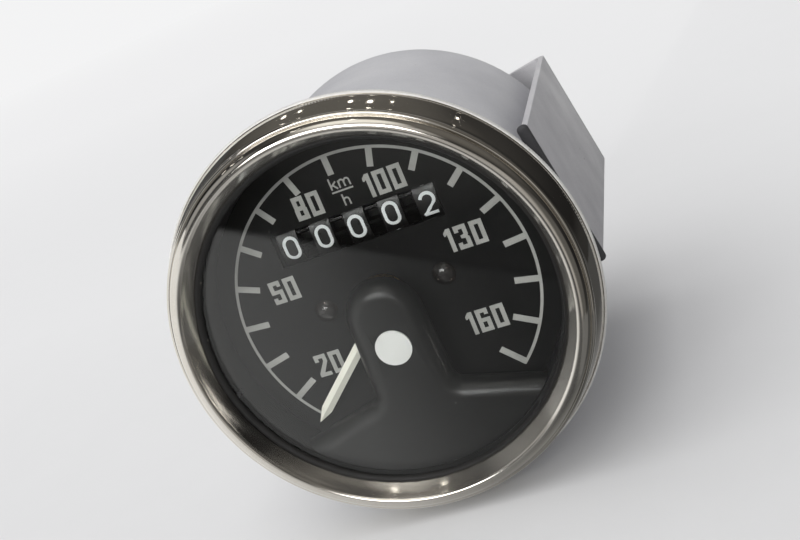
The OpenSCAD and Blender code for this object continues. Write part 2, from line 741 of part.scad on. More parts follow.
// Die-cast rear plate with its pillars, shaft lug and screw bosses
module rear_plate() color("darkgray") difference() {
    union() {
        sheet(rear_y0, rear_y1) difference() {
            union() {
                circle(rear_r);
                translate([lay_x, lay_z]) circle(lug_r + lobe_over);
                for (p = pillars) {
                    rotate(atan2(p[1], p[0])) translate([0, -pillar_r]) square([norm(p), 2 * pillar_r]);
                    translate(p) circle(pillar_r + lobe_over);
                }
            }
            circle(bush_r);
            translate([lay_x, lay_z]) circle(shaft_r + run_fit);
            rotate(clamp_angle) translate([0, -lamp_at]) circle(lamp_r + lamp_hole);
        }
        pillar_places() rod(0, 0, plate_y1, rear_y0 + eps, pillar_r);
        translate([lug_x0, train_y, cross_z - lug_web / 2]) cube([lug_w, rear_y0 - train_y + eps, lug_web]);
        cross_rod(lug_x0, lug_x0 + lug_w, train_y, cross_z, lug_r);
        clamp_frame() rear_screw_places() rod(0, 0, rear_y1 - eps, floor_y0, rear_boss_r);
    }
    cross_rod(lug_x0 - cut, cross_x1 + thrust_gap, train_y, cross_z, shaft_r + run_fit);
    pillar_places() rod(0, 0, plate_y1 - cut, plate_y1 + tap_depth, small_screw_r);
    clamp_frame() rear_screw_places() rod(0, 0, rear_y0 - cut, floor_y0 + cut, rear_screw_r);
}

module rear_plate_screws() color("silver") clamp_frame() rear_screw_places() difference() {
    union() {
        rod(0, 0, can_len, can_len + rear_head_t, rear_head_r);
        rod(0, 0, rear_y0 + slot_d, can_len + eps, rear_screw_r);
    }
    translate([-rear_head_r, can_len + rear_head_t - rear_slot_d, -rear_slot_w / 2])
        cube([2 * rear_head_r, rear_slot_d + cut, rear_slot_w]);
}

// Drive
module drive_collar() color("silver") difference() {
    union() {
        rod(0, 0, rear_y1, floor_y0, collar_flange_r);
        rod(0, 0, rear_y1, collar_y1, collar_shank_r);
        rod(0, 0, collar_y1 - collar_thread_len, collar_y1, collar_r);
    }
    rod(0, 0, rear_y1 - cut, collar_y1 + cut, bush_r);
    rod(0, 0, collar_y1 - collar_mouth, collar_y1 + cut, collar_mouth_r);
}

module spindle_bush() color("peru") difference() {
    rod(0, 0, rear_y0, collar_y1 - collar_mouth, bush_r);
    rod(0, 0, rear_y0 - cut, collar_y1, spindle_r + run_fit);
}

module input_spindle() color("gray") difference() {
    union() {
        rod(0, 0, spindle_y0, magnet_y1, nose_shaft_r);
        rod(0, 0, magnet_y1, iron_y0, shoulder_shaft_r);
        rod(0, 0, iron_y0 - eps, train_y, nose_shaft_r);
        translate([0, train_y, 0]) rotate([-90, 0, 0]) worm(module_a, 90);
        rod(0, 0, train_y, thrust_y1, nose_shaft_r);
        rod(0, 0, thrust_y1 - thrust_t, thrust_y1, thrust_r);
        rod(0, 0, thrust_y1 - eps, spindle_y1, spindle_r);
    }
    rod(0, 0, spindle_y0 - cut, spindle_y0 + pivot_len, pivot_r + run_fit);
    translate([-socket_w / 2, spindle_y1 - socket_depth, -socket_w / 2])
        cube([socket_w, socket_depth + cut, socket_w]);
}

module drive_magnet() color("dimgray") difference() {
    rod(0, 0, magnet_y0, magnet_y1, magnet_r);
    rod(0, 0, magnet_y0 - cut, magnet_y1 + cut, nose_shaft_r);
}

module return_cup() color("slategray") difference() {
    rod(0, 0, cup_y0 + iron_set, iron_y0 + iron_wall, iron_r0 + iron_wall);
    rod(0, 0, cup_y0, iron_y0, iron_r0);
    rod(0, 0, iron_y0 - cut, iron_y0 + iron_wall + cut, nose_shaft_r);
}

// First reduction: worm wheel and second worm on a shaft across the gauge
module cross_shaft() color("silver") {
    cross_rod(cross_x0, cross_x1, train_y, cross_z, shaft_r);
    translate([lay_x, train_y, cross_z]) rotate([0, 90, 0]) worm(module_b, 180);
}

module cross_wheel() color("goldenrod") translate([-wheel_face / 2, train_y, cross_z]) rotate([0, 90, 0])
    linear_extrude(wheel_face) difference() {
        gear_outline(teeth_a, pitch_a, module_a);
        circle(shaft_r);
    }

// Second reduction: worm wheel and third worm on a shaft along the gauge
module lay_shaft() color("silver") {
    rod(lay_x, lay_z, plate_y0 + thrust_gap, rear_y1 - thrust_gap, shaft_r);
    translate([lay_x, counter_y, lay_z]) rotate([-90, 0, 0]) worm(module_c, -90);
}

module lay_wheel() color("goldenrod") translate([lay_x, train_y - wheel_face / 2, lay_z]) rotate([-90, 0, 0])
    linear_extrude(wheel_face) difference() {
        gear_outline(teeth_b, pitch_b, module_b);
        circle(shaft_r);
    }

// Counter
foot_w = 5;
foot_z0 = -1;
foot_screw_x = [cheek_left - foot_w / 2, cheek_right + counter_sheet + foot_w / 2];
foot_screw_up = 3;
foot_screw_z = foot_z0 + foot_screw_up;
web_gap = 0.6;
web_y1 = pinion_y + pinion_r + module_t + web_gap + counter_sheet;
web_h = 6;
web_clear = 1;
cheek_over = 2.5;
axle_over = 0.5;
axle_x0 = cheek_left - axle_over;
axle_x1 = cheek_right + counter_sheet + axle_over;
cheek_z0 = lay_z + worm_r + module_c + web_clear;

module cheek(x) translate([x, 0, 0]) difference() {
    union() {
        translate([0, plate_y1, cheek_z0])
            cube([counter_sheet, web_y1 - plate_y1, pinion_z + cheek_over - cheek_z0]);
        translate([0, plate_y1, foot_z0]) cube([counter_sheet, counter_sheet, cheek_z0 - foot_z0 + eps]);
    }
    cross_rod(-cut, counter_sheet + cut, counter_y, counter_z, axle_r);
    cross_rod(-cut, counter_sheet + cut, pinion_y, pinion_z, pinion_shaft_r);
}

module counter_frame() color("lightgray") {
    cheek(cheek_left);
    cheek(cheek_right);
    translate([cheek_left, web_y1 - counter_sheet, iron_r0 + iron_wall + web_clear])
        cube([cheek_right - cheek_left + eps, counter_sheet, web_h]);
    difference() {
        for (x = [cheek_left - foot_w, cheek_right + counter_sheet - eps])
            translate([x, plate_y1, foot_z0]) cube([foot_w + eps, counter_sheet, plate_top - foot_z0]);
        for (x = foot_screw_x)
            rod(x, foot_screw_z, plate_y1 - cut, plate_y1 + counter_sheet + cut, small_screw_r + screw_clear);
    }
}

module counter_axle() color("silver") cross_rod(axle_x0, axle_x1, counter_y, counter_z, axle_r);

module pinion_shaft() color("silver") cross_rod(axle_x0, axle_x1, pinion_y, pinion_z, pinion_shaft_r);

// A figure band with its driven gear band to the right, or a plain hub on the last wheel
module figure_wheel(index) {
    x0 = wheel_x0 + wheel_pitch * (index - 1);
    color([0.12, 0.12, 0.12]) translate([x0, counter_y, counter_z]) rotate([0, 90, 0]) difference() {
        union() {
            cylinder(h = figure_band, r = wheel_r);
            cylinder(h = figure_band + band_gap + eps, r = wheel_hub_r);
            if (index < wheel_count) translate([0, 0, figure_band + band_gap]) linear_extrude(band_w)
                rotate(gear_phase) gear_outline(transfer_teeth, transfer_r, module_t);
            else cylinder(h = figure_band + band_gap + band_w, r = wheel_hub_r);
        }
        translate([0, 0, -cut]) cylinder(h = wheel_pitch + 2 * cut, r = axle_r + run_fit);
    }
}

// A tooth of each gear band points at its pinion
gear_phase = 90 + pinion_dir + 180 / transfer_teeth;
wheel_hub_r = transfer_r - module_t - 1;

module transfer_pinion(index) {
    x0 = wheel_x0 + wheel_pitch * (index - 1) + figure_band + band_gap;
    color("goldenrod") translate([x0, pinion_y, pinion_z]) rotate([0, 90, 0]) linear_extrude(band_w)
        difference() {
            rotate(90 + pinion_dir - 180) gear_outline(pinion_teeth, pinion_r, module_t);
            circle(pinion_shaft_r + run_fit);
        }
}

module counter_gear() color("goldenrod") translate([gear_x0, counter_y, counter_z]) rotate([0, 90, 0])
    difference() {
        union() {
            linear_extrude(gear_w) gear_outline(teeth_c, pitch_c, module_c);
            translate([0, 0, -gear_stand - side_gap])
                cylinder(h = gear_stand + side_gap + eps, r = gear_hub_r);
        }
        translate([0, 0, -wheel_pitch]) cylinder(h = 2 * wheel_pitch, r = axle_r + run_fit);
    }

// Dial lamp
module lamp_holder() color("silver") clamp_frame() translate([0, 0, -lamp_at]) difference() {
    union() {
        rod(0, 0, can_len, can_len + lamp_flange_t, lamp_flange_r);
        rod(0, 0, can_len - lamp_tube, can_len + eps, lamp_r);
        translate([-lamp_blade[0] / 2, can_len, -lamp_blade[2] / 2]) cube(lamp_blade);
    }
    rod(0, 0, can_len - lamp_tube - cut, can_len - lamp_floor, lamp_r - lamp_wall);
}

module lamp_bulb() color("lightyellow", 0.6) clamp_frame() translate([0, 0, -lamp_at]) {
    rod(0, 0, can_len - lamp_tube - bulb_cap, can_len - lamp_floor, lamp_r - lamp_wall - bulb_fit);
    translate([0, can_len - lamp_tube - bulb_stand, 0]) sphere(bulb_r);
}

// Clamp: studs on the can, and the bracket that they draw towards the panel
module clamp_studs() color("silver") clamp_frame() for (s = [-1, 1]) translate([s * stud_at, 0, 0]) {
    rod(0, 0, floor_y0 - stud_head_t, floor_y0, stud_head_r);
    rod(0, 0, floor_y0 - eps, stud_y1, stud_r);
}

module u_section(half, y1, bend) {
    translate([-half, leg_depth]) square([2 * half, y1 - bend - leg_depth]);
    translate([bend - half, leg_depth]) square([2 * (half - bend), y1 - leg_depth]);
    for (s = [-1, 1]) translate([s * (half - bend), y1 - bend]) circle(bend);
}

module clamp_bracket() color("silver") clamp_frame() difference() {
    linear_extrude(clamp_w, center = true) difference() {
        u_section(leg_out, base_y1, clamp_bend_r);
        u_section(leg_in, base_y0, clamp_bend_r - clamp_t);
        translate([-leg_in, leg_depth - cut]) square([2 * leg_in, 2 * cut]);
    }
    rod(0, 0, base_y0 - cut, base_y1 + cut, clamp_hole_r);
    for (s = [-1, 1]) rod(s * stud_at, 0, base_y0 - cut, base_y1 + cut, stud_r + stud_clear);
}

// Rubber cords with round ends, slotted onto the legs' front edges
module clamp_pads() color([0.08, 0.08, 0.08]) clamp_frame() for (s = [-1, 1]) difference() {
    translate([s * leg_mid - clamp_t / 2 - pad_wall, 0, 0]) rotate([0, 90, 0])
        linear_extrude(clamp_t + 2 * pad_wall) {
            translate([-pad_half, pad_y0]) square([2 * pad_half, 2 * pad_end_r]);
            for (t = [-1, 1]) translate([t * pad_half, pad_y0 + pad_end_r]) circle(pad_end_r);
        }
    translate([s * leg_mid - clamp_t / 2, leg_depth, -clamp_w / 2])
        cube([clamp_t, pad_grip + cut, clamp_w]);
}

module spring_washers() color("silver") clamp_frame() for (s = [-1, 1]) difference() {
    rod(s * stud_at, 0, base_y1, nut_y0, washer_r);
    rod(s * stud_at, 0, base_y1 - cut, nut_y0 + cut, stud_r + stud_clear);
    translate([s * stud_at, base_y1 - cut, -washer_split / 2])
        cube([washer_r + cut, washer_t + 2 * cut, washer_split]);
}

module stud_nut(side) color("silver") clamp_frame() translate([side * stud_at, 0, 0]) difference() {
    intersection() {
        translate([0, nut_y0, 0]) rotate([-90, 0, 0]) cylinder(h = nut_t, d = nut_flats / cos(30), $fn = 6);
        rod(0, 0, nut_y0 - cut, nut_y0 + nut_t + cut, nut_flats * nut_round);
    }
    rod(0, 0, nut_y0 - cut, nut_y0 + nut_t + cut, stud_r + nut_fit);
}

can();
bezel();
lens();
lens_gasket();
inner_ring();
dial_plate();
dial_screws();
pointer_mask();
mask_disc();
pointer();
pointer_boss();
pointer_arbor();
drag_cup();
hairspring();
front_plate();
front_plate_screws();
pivot_bush();
rear_plate();
rear_plate_screws();
drive_collar();
spindle_bush();
input_spindle();
drive_magnet();
return_cup();
cross_shaft();
cross_wheel();
lay_shaft();
lay_wheel();
counter_frame();
counter_axle();
counter_gear();
figure_wheel(1);  // figure_wheel_1
figure_wheel(2);  // figure_wheel_2
figure_wheel(3);  // figure_wheel_3
figure_wheel(4);  // figure_wheel_4
figure_wheel(5);  // figure_wheel_5
pinion_shaft();
transfer_pinion(1);  // transfer_pinion_1
transfer_pinion(2);  // transfer_pinion_2
transfer_pinion(3);  // transfer_pinion_3
transfer_pinion(4);  // transfer_pinion_4
lamp_holder();
lamp_bulb();
clamp_studs();
clamp_bracket();
clamp_pads();
spring_washers();
stud_nut(-1);  // stud_nut_1
stud_nut(1);  // stud_nut_2
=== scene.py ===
import math
import bpy
from mathutils import Matrix, Vector


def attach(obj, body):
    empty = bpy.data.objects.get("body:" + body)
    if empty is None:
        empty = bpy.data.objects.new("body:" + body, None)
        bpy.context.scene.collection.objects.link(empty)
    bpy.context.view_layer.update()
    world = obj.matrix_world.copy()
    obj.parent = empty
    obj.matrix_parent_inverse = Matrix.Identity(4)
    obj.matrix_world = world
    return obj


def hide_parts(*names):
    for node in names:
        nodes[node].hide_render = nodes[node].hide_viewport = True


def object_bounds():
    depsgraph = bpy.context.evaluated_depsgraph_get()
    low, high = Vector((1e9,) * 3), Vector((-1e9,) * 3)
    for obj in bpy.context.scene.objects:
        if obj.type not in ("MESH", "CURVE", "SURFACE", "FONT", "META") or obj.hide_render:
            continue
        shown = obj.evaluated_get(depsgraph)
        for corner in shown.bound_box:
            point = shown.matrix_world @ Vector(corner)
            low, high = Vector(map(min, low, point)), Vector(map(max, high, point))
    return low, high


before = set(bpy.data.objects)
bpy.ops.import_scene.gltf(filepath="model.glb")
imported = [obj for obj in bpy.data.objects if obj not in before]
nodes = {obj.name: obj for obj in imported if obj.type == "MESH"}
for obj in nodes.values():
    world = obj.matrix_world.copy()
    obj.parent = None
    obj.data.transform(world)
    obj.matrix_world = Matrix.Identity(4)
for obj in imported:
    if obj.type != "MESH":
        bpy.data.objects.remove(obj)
cadLow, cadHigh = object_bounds()
scene = bpy.context.scene
scene.view_settings.view_transform = "Standard"
mm = 0.001
weld = 1e-6  # closes seams and poles
nodeWeld = 2e-6  # joins the loose triangles of a CAD node
flatAngle = math.radians(1)


# Hand moves used by every piece
def deselectAll():
    bpy.ops.object.select_all(action="DESELECT")


def pick(*objs):
    deselectAll()
    for o in objs:
        o.select_set(True)
    bpy.context.view_layer.objects.active = objs[0]


def openMesh():
    bpy.ops.object.mode_set(mode="EDIT")
    bpy.ops.mesh.select_mode(type="VERT")
    bpy.ops.mesh.select_all(action="SELECT")


def closeMesh():
    bpy.ops.object.mode_set(mode="OBJECT")


def selectVerts(piece, test):
    closeMesh()
    bpy.context.tool_settings.mesh_select_mode = (True, False, False)
    for part in (piece.data.polygons, piece.data.edges):
        part.foreach_set("select", [False] * len(part))
    for v in piece.data.vertices:
        v.select = bool(test(v.co))
    bpy.ops.object.mode_set(mode="EDIT")
    bpy.ops.mesh.select_mode(type="VERT")


def axisDistance(c):
    return math.hypot(c.x, c.z)


def applyPlace(piece):
    pick(piece)
    bpy.ops.object.transform_apply(location=True, rotation=True, scale=True)


def settle(piece, name, angle=35):
    closeMesh()
    applyPlace(piece)
    bpy.ops.object.shade_smooth_by_angle(angle=math.radians(angle))
    piece.name = name
    piece.data.name = name
    return piece


def applyModifier(piece, kind, **settings):
    pick(piece)
    m = piece.modifiers.new(kind.lower(), kind)
    for key, value in settings.items():
        setattr(m, key, value)
    bpy.ops.object.modifier_apply(modifier=m.name)


def mergeFlats():
    bpy.ops.mesh.select_all(action="SELECT")
    bpy.ops.mesh.dissolve_limited(angle_limit=flatAngle)
    closeMesh()


def breakEdges(piece, width, segments=3, angle=50):
    mergeFlats()
    applyModifier(piece, "BEVEL", width=width * mm, segments=segments, limit_method="ANGLE",
                  angle_limit=math.radians(angle))


def chain(points):
    deselectAll()
    bpy.ops.mesh.primitive_plane_add(size=mm)
    piece = bpy.context.object
    openMesh()
    bpy.ops.mesh.merge(type="CENTER")
    bpy.ops.transform.translate(value=Vector(points[0]) * mm)
    for a, b in zip(points, points[1:]):
        step = (Vector(b) - Vector(a)) * mm
        bpy.ops.mesh.extrude_vertices_move(TRANSFORM_OT_translate={"value": step})
    return piece


def turned(points, steps, angle=360):
    piece = chain([(r, y, 0) for r, y in points])
    bpy.ops.mesh.select_all(action="SELECT")
    bpy.ops.mesh.spin(steps=steps, angle=math.radians(angle), center=(0, 0, 0), axis=(0, 1, 0))
    bpy.ops.mesh.select_all(action="SELECT")
    bpy.ops.mesh.remove_doubles(threshold=weld)
    bpy.ops.mesh.normals_make_consistent(inside=False)
    return piece


def roundedBlock(size, edge, segments):
    deselectAll()
    bpy.ops.mesh.primitive_cube_add(size=mm)
    piece = bpy.context.object
    openMesh()
    bpy.ops.transform.resize(value=size)
    bpy.ops.mesh.bevel(offset=edge * mm, segments=segments, affect="EDGES")
    closeMesh()
    return piece


def arcPoints(centre, radius, start, end, steps):
    angles = [math.radians(start + (end - start) * i / steps) for i in range(steps + 1)]
    return [(centre[0] + radius * math.cos(a), centre[1] + radius * math.sin(a)) for a in angles]


def join(pieces):
    pick(*pieces)
    if len(pieces) > 1:
        bpy.ops.object.join()
    return pieces[0]


def copyPiece(piece, matrix):
    copy = piece.copy()
    copy.data = piece.data.copy()
    scene.collection.objects.link(copy)
    copy.matrix_world = matrix @ piece.matrix_world
    return copy


def fromNode(name):
    piece = copyPiece(nodes[name], Matrix())
    piece.parent = None
    for key in list(piece.keys()):
        del piece[key]
    pick(piece)
    openMesh()
    bpy.ops.mesh.remove_doubles(threshold=nodeWeld)
    return piece


def finishPiece(piece, material, body, replaces=()):
    piece.data.materials.clear()
    piece.data.materials.append(material)
    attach(piece, body)
    if replaces:
        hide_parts(*replaces)
    return piece


# Shared looks
def newGroup(name, inputs, outputs):
    g = bpy.data.node_groups.new(name, "ShaderNodeTree")
    for kind, label, value in inputs:
        s = g.interface.new_socket(label, in_out="INPUT", socket_type="NodeSocket" + kind)
        s.default_value = value
    for kind, label in outputs:
        g.interface.new_socket(label, in_out="OUTPUT", socket_type="NodeSocket" + kind)
    return g, g.nodes.new("NodeGroupInput"), g.nodes.new("NodeGroupOutput")


def addNode(tree, kind, values=None, **settings):
    n = tree.nodes.new("ShaderNode" + kind)
    for key, value in settings.items():
        setattr(n, key, value)
    for key, value in (values or {}).items():
        n.inputs[key].default_value = value
    return n


def feed(tree, socket, value):
    if isinstance(value, (int, float, tuple)):
        socket.default_value = value
    else:
        tree.links.new(value, socket)


def objectPlace(tree):
    place = addNode(tree, "TexCoord").outputs["Object"]
    parts = addNode(tree, "SeparateXYZ")
    tree.links.new(place, parts.inputs[0])
    return place, *parts.outputs


def noise(tree, vector, scale, detail=3.0, rough=0.55):
    n = addNode(tree, "TexNoise", {"Detail": detail, "Roughness": rough})
    tree.links.new(vector, n.inputs["Vector"])
    feed(tree, n.inputs["Scale"], scale)
    return n.outputs["Fac"]


def remap(tree, value, low, high, outLow=0, outHigh=1):
    n = addNode(tree, "MapRange")
    for key, v in (("Value", value), ("From Min", low), ("From Max", high), ("To Min", outLow), ("To Max", outHigh)):
        feed(tree, n.inputs[key], v)
    return n.outputs["Result"]


def mixColour(tree, factor, a, b):
    n = addNode(tree, "Mix", data_type="RGBA")
    for key, v in ((0, factor), (6, a), (7, b)):
        feed(tree, n.inputs[key], v)
    return n.outputs[2]


def maths(tree, operation, a, b=0.0):
    n = addNode(tree, "Math", operation=operation)
    for socket, v in zip(n.inputs, (a, b)):
        feed(tree, socket, v)
    return n.outputs[0]


def times(tree, a, b):
    return maths(tree, "MULTIPLY", a, b)


def fromAxis(tree, x, z):
    return maths(tree, "SQRT", maths(tree, "ADD", times(tree, x, x), times(tree, z, z)))


def toneRamp(tree, value, stops):
    n = addNode(tree, "ValToRGB")
    elements = n.color_ramp.elements
    for i, (at, tone) in enumerate(stops):
        e = elements[i] if i < 2 else elements.new(at)
        e.position, e.color = at, (*tone, 1)
    tree.links.new(value, n.inputs[0])
    return n.outputs[0]


def greys(stops):
    return [(at, (tone, tone, tone)) for at, tone in stops]


def cosine(degrees):
    return math.cos(math.radians(degrees))


grainMix = {"grain": 0.45, "cloud": 0.55, "tone": (0.36, 0.64), "rough": (0.35, 0.65), "speckEdge": (0.06, 0.16),
            "speckDepth": 0.4, "line": (0.35, 0.65)}


def makeSurfaceGrain():
    g, i, o = newGroup("surfaceGrain", [
        ("Color", "Base", (0.5, 0.5, 0.5, 1)), ("Color", "Shade", (0.4, 0.4, 0.4, 1)),
        ("Color", "Speck", (0.1, 0.1, 0.1, 1)), ("Float", "Grain Scale", 4000),
        ("Float", "Cloud Scale", 90), ("Float", "Speck Scale", 900), ("Float", "Speck Amount", 0.0),
        ("Float", "Rough Low", 0.3), ("Float", "Rough High", 0.5)],
        [("Color", "Color"), ("Float", "Roughness"), ("Float", "Height")])
    at = addNode(g, "TexCoord").outputs["Object"]
    grain = noise(g, at, i.outputs["Grain Scale"], detail=4, rough=0.6)
    cloud = noise(g, at, i.outputs["Cloud Scale"])
    both = maths(g, "ADD", times(g, grain, grainMix["grain"]), times(g, cloud, grainMix["cloud"]))
    dots = addNode(g, "TexVoronoi", feature="F1")
    g.links.new(at, dots.inputs["Vector"])
    g.links.new(i.outputs["Speck Scale"], dots.inputs["Scale"])
    dotColour = addNode(g, "SeparateColor")
    g.links.new(dots.outputs["Color"], dotColour.inputs[0])
    chosen = maths(g, "LESS_THAN", dotColour.outputs[0], i.outputs["Speck Amount"])
    speck = times(g, remap(g, dots.outputs["Distance"], *grainMix["speckEdge"], 1, 0), chosen)
    colour = mixColour(g, remap(g, both, *grainMix["tone"]), i.outputs["Base"], i.outputs["Shade"])
    g.links.new(mixColour(g, speck, colour, i.outputs["Speck"]), o.inputs["Color"])
    rough = remap(g, both, *grainMix["rough"], i.outputs["Rough Low"], i.outputs["Rough High"])
    g.links.new(rough, o.inputs["Roughness"])
    g.links.new(maths(g, "SUBTRACT", grain, times(g, speck, grainMix["speckDepth"])), o.inputs["Height"])
    return g


def makeTurnedLines():
    g, i, o = newGroup("turnedLines", [("Float", "Line Scale", 3000), ("Float", "Spread", 0.5)],
                       [("Float", "Line"), ("Float", "Height")])
    _, x, y, z = objectPlace(g)
    along = addNode(g, "CombineXYZ")
    g.links.new(fromAxis(g, x, z), along.inputs[0])
    g.links.new(y, along.inputs[1])
    line = noise(g, along.outputs[0], i.outputs["Line Scale"], detail=2, rough=0.5)
    g.links.new(times(g, remap(g, line, *grainMix["line"]), i.outputs["Spread"]), o.inputs["Line"])
    g.links.new(line, o.inputs["Height"])
    return g


surfaceGrain = makeSurfaceGrain()
turnedLines = makeTurnedLines()
commonIor = 1.5


def rgb(r, g, b):
    def lin(c):
        c /= 255
        return c / 12.92 if c <= 0.04045 else ((c + 0.055) / 1.055) ** 2.4
    return (lin(r), lin(g), lin(b), 1)


def newMaterial(name):
    m = bpy.data.materials.new(name)
    m.use_nodes = True
    return m, m.node_tree, m.node_tree.nodes["Principled BSDF"]


def makeMaterial(name, look):
    m, t, p = newMaterial(name)
    values = {"Base": look["base"], "Shade": look["shade"], "Speck": look.get("speck", look["shade"]),
              "Rough Low": look["rough"][0], "Rough High": look["rough"][1],
              "Grain Scale": look["grain"], "Cloud Scale": look["cloud"]}
    if "speckScale" in look:
        values.update({"Speck Scale": look["speckScale"], "Speck Amount": look["speckAmount"]})
    g = addNode(t, "Group", values, node_tree=surfaceGrain)
    colour, height = g.outputs["Color"], g.outputs["Height"]
    if "lines" in look:
        lines = addNode(t, "Group", {"Line Scale": look["lines"][0], "Spread": look["lines"][1]},
                        node_tree=turnedLines)
        colour = mixColour(t, lines.outputs["Line"], colour, look["shade"])
        height = maths(t, "ADD", height, lines.outputs["Height"])
    bump = addNode(t, "Bump", {"Strength": look["bump"], "Distance": look.get("bumpDepth", 0.02) * mm})
    t.links.new(height, bump.inputs["Height"])
    t.links.new(colour, p.inputs["Base Color"])
    t.links.new(g.outputs["Roughness"], p.inputs["Roughness"])
    t.links.new(bump.outputs["Normal"], p.inputs["Normal"])
    p.inputs["Metallic"].default_value = look.get("metallic", 0.0)
    p.inputs["IOR"].default_value = commonIor
    for key, label in (("specular", "Specular IOR Level"), ("coat", "Coat Weight"), ("coatRough", "Coat Roughness")):
        if key in look:
            p.inputs[label].default_value = look[key]
    return m


def feeder(socket):
    return socket.links[0].from_socket


def mixShaders(tree, factor, a, b):
    mix = addNode(tree, "MixShader")
    for socket, source in zip(mix.inputs, (factor, a, b)):
        tree.links.new(source, socket)
    tree.links.new(mix.outputs[0], tree.nodes["Material Output"].inputs["Surface"])


# Worn slope inside the bezel's crest, rougher, with painted dark reflection: the chrome's colour darkened on the
# slope at the lower left
wearAndPaintedDark = {"radius": (38.5, 39.1), "grain": 3400, "cloud": 60, "rough": (0.1, 0.15), "bump": 0.15, "metallic": 0.96,
        "paintedDark": rgb(62, 62, 62), "paintedDarkRadius": (37.4, 37.7), "paintedDarkAt": 203, "paintedDarkWide": 27, "paintedDarkCore": 6,
        "paintedDarkAmount": 0.92, "patchScale": 130, "patch": (0.3, 0.62, 0.86, 1)}


def wearInsideAndPaintedDark(material):
    t = material.node_tree
    p = t.nodes["Principled BSDF"]
    place, x, _, z = objectPlace(t)
    radius = fromAxis(t, x, z)
    inside, paintedDarkRing = (remap(t, radius, low * mm, high * mm, 1, 0)
                     for low, high in (wearAndPaintedDark["radius"], wearAndPaintedDark["paintedDarkRadius"]))
    worn = addNode(t, "Group", {"Grain Scale": wearAndPaintedDark["grain"], "Cloud Scale": wearAndPaintedDark["cloud"],
                                "Rough Low": wearAndPaintedDark["rough"][0], "Rough High": wearAndPaintedDark["rough"][1]},
                   node_tree=surfaceGrain)
    strength = feeder(p.inputs["Normal"]).node.inputs["Strength"]
    for socket, plain, used in ((p.inputs["Roughness"], feeder(p.inputs["Roughness"]), worn.outputs["Roughness"]),
                                (p.inputs["Metallic"], 1.0, wearAndPaintedDark["metallic"]),
                                (strength, strength.default_value, wearAndPaintedDark["bump"])):
        t.links.new(remap(t, inside, 0, 1, plain, used), socket)
    # Painted dark reflection: the chrome's colour is darkened on the slope around this angle, patchy
    a = math.radians(wearAndPaintedDark["paintedDarkAt"])
    along = maths(t, "ADD", times(t, x, math.cos(a)), times(t, z, math.sin(a)))
    side = remap(t, maths(t, "DIVIDE", along, radius), cosine(wearAndPaintedDark["paintedDarkWide"]), cosine(wearAndPaintedDark["paintedDarkCore"]))
    patchy = remap(t, noise(t, place, wearAndPaintedDark["patchScale"], rough=0.5), *wearAndPaintedDark["patch"])
    paintedDark = times(t, times(t, side, paintedDarkRing), times(t, patchy, wearAndPaintedDark["paintedDarkAmount"]))
    t.links.new(mixColour(t, paintedDark, feeder(p.inputs["Base Color"]), wearAndPaintedDark["paintedDark"]), p.inputs["Base Color"])


# Counter wheels: the toothed band beside each figure is darker and duller
wheelBand = {"start": -17.0, "pitch": 7.40012, "figure": 4.45, "amount": 0.8, "tone": rgb(4, 4, 4),
             "specular": (0.5, 0.14)}


def darkenBands(material):
    t = material.node_tree
    p = t.nodes["Principled BSDF"]
    x = objectPlace(t)[1]
    wheels = maths(t, "DIVIDE", maths(t, "SUBTRACT", x, wheelBand["start"] * mm), wheelBand["pitch"] * mm)
    gear = maths(t, "GREATER_THAN", maths(t, "FRACT", wheels), wheelBand["figure"] / wheelBand["pitch"])
    plain = feeder(p.inputs["Base Color"])
    dark = times(t, gear, wheelBand["amount"])
    t.links.new(mixColour(t, dark, plain, wheelBand["tone"]), p.inputs["Base Color"])
    t.links.new(remap(t, gear, 0, 1, *wheelBand["specular"]), p.inputs["Specular IOR Level"])


def makeGlass(name, tint, shade, rough):
    m = makeMaterial(name, {"base": tint, "shade": shade, "grain": 300, "cloud": 40, "rough": (rough, rough),
                            "bump": 0.0})
    t = m.node_tree
    p = t.nodes["Principled BSDF"]
    p.inputs["Transmission Weight"].default_value = 1.0
    t.nodes.remove(feeder(p.inputs["Normal"]).node)
    t.links.remove(p.inputs["Roughness"].links[0])
    p.inputs["Roughness"].default_value = rough
    through = addNode(t, "BsdfTransparent", {"Color": tint})
    shadow = addNode(t, "LightPath").outputs["Is Shadow Ray"]
    mixShaders(t, shadow, p.outputs[0], through.outputs[0])
    return m


chromePlate = makeMaterial("chromePlate", {"base": rgb(227, 223, 216), "shade": rgb(219, 214, 206),
    "speck": rgb(150, 138, 122), "grain": 2600, "cloud": 120, "speckScale": 900, "speckAmount": 0.008,
    "rough": (0.045, 0.075), "metallic": 1.0, "bump": 0.02, "bumpDepth": 0.01})
rimSatin = makeMaterial("rimSatin", {"base": rgb(236, 235, 232), "shade": rgb(219, 217, 213),
    "speck": rgb(150, 140, 126), "grain": 2600, "cloud": 160, "speckScale": 900, "speckAmount": 0.02,
    "rough": (0.38, 0.48), "metallic": 0.35, "bump": 0.08, "bumpDepth": 0.01})
canPaint = makeMaterial("canPaint", {"base": rgb(203, 203, 206), "shade": rgb(191, 191, 195),
    "speck": rgb(60, 58, 56), "grain": 3200, "cloud": 70, "speckScale": 420, "speckAmount": 0.02,
    "rough": (0.36, 0.48), "metallic": 0.15, "bump": 0.12})
clampPaint = makeMaterial("clampPaint", {"base": rgb(200, 199, 201), "shade": rgb(187, 186, 189),
    "speck": rgb(70, 66, 60), "grain": 2600, "cloud": 110, "speckScale": 420, "speckAmount": 0.03,
    "rough": (0.38, 0.52), "metallic": 0.2, "bump": 0.15})
dialPaint = makeMaterial("dialPaint", {"base": rgb(14, 14, 14), "shade": rgb(19, 19, 19),
    "speck": rgb(96, 94, 92), "grain": 3000, "cloud": 45, "speckScale": 420, "speckAmount": 0.012,
    "rough": (0.62, 0.78), "bump": 0.03, "specular": 0.15})
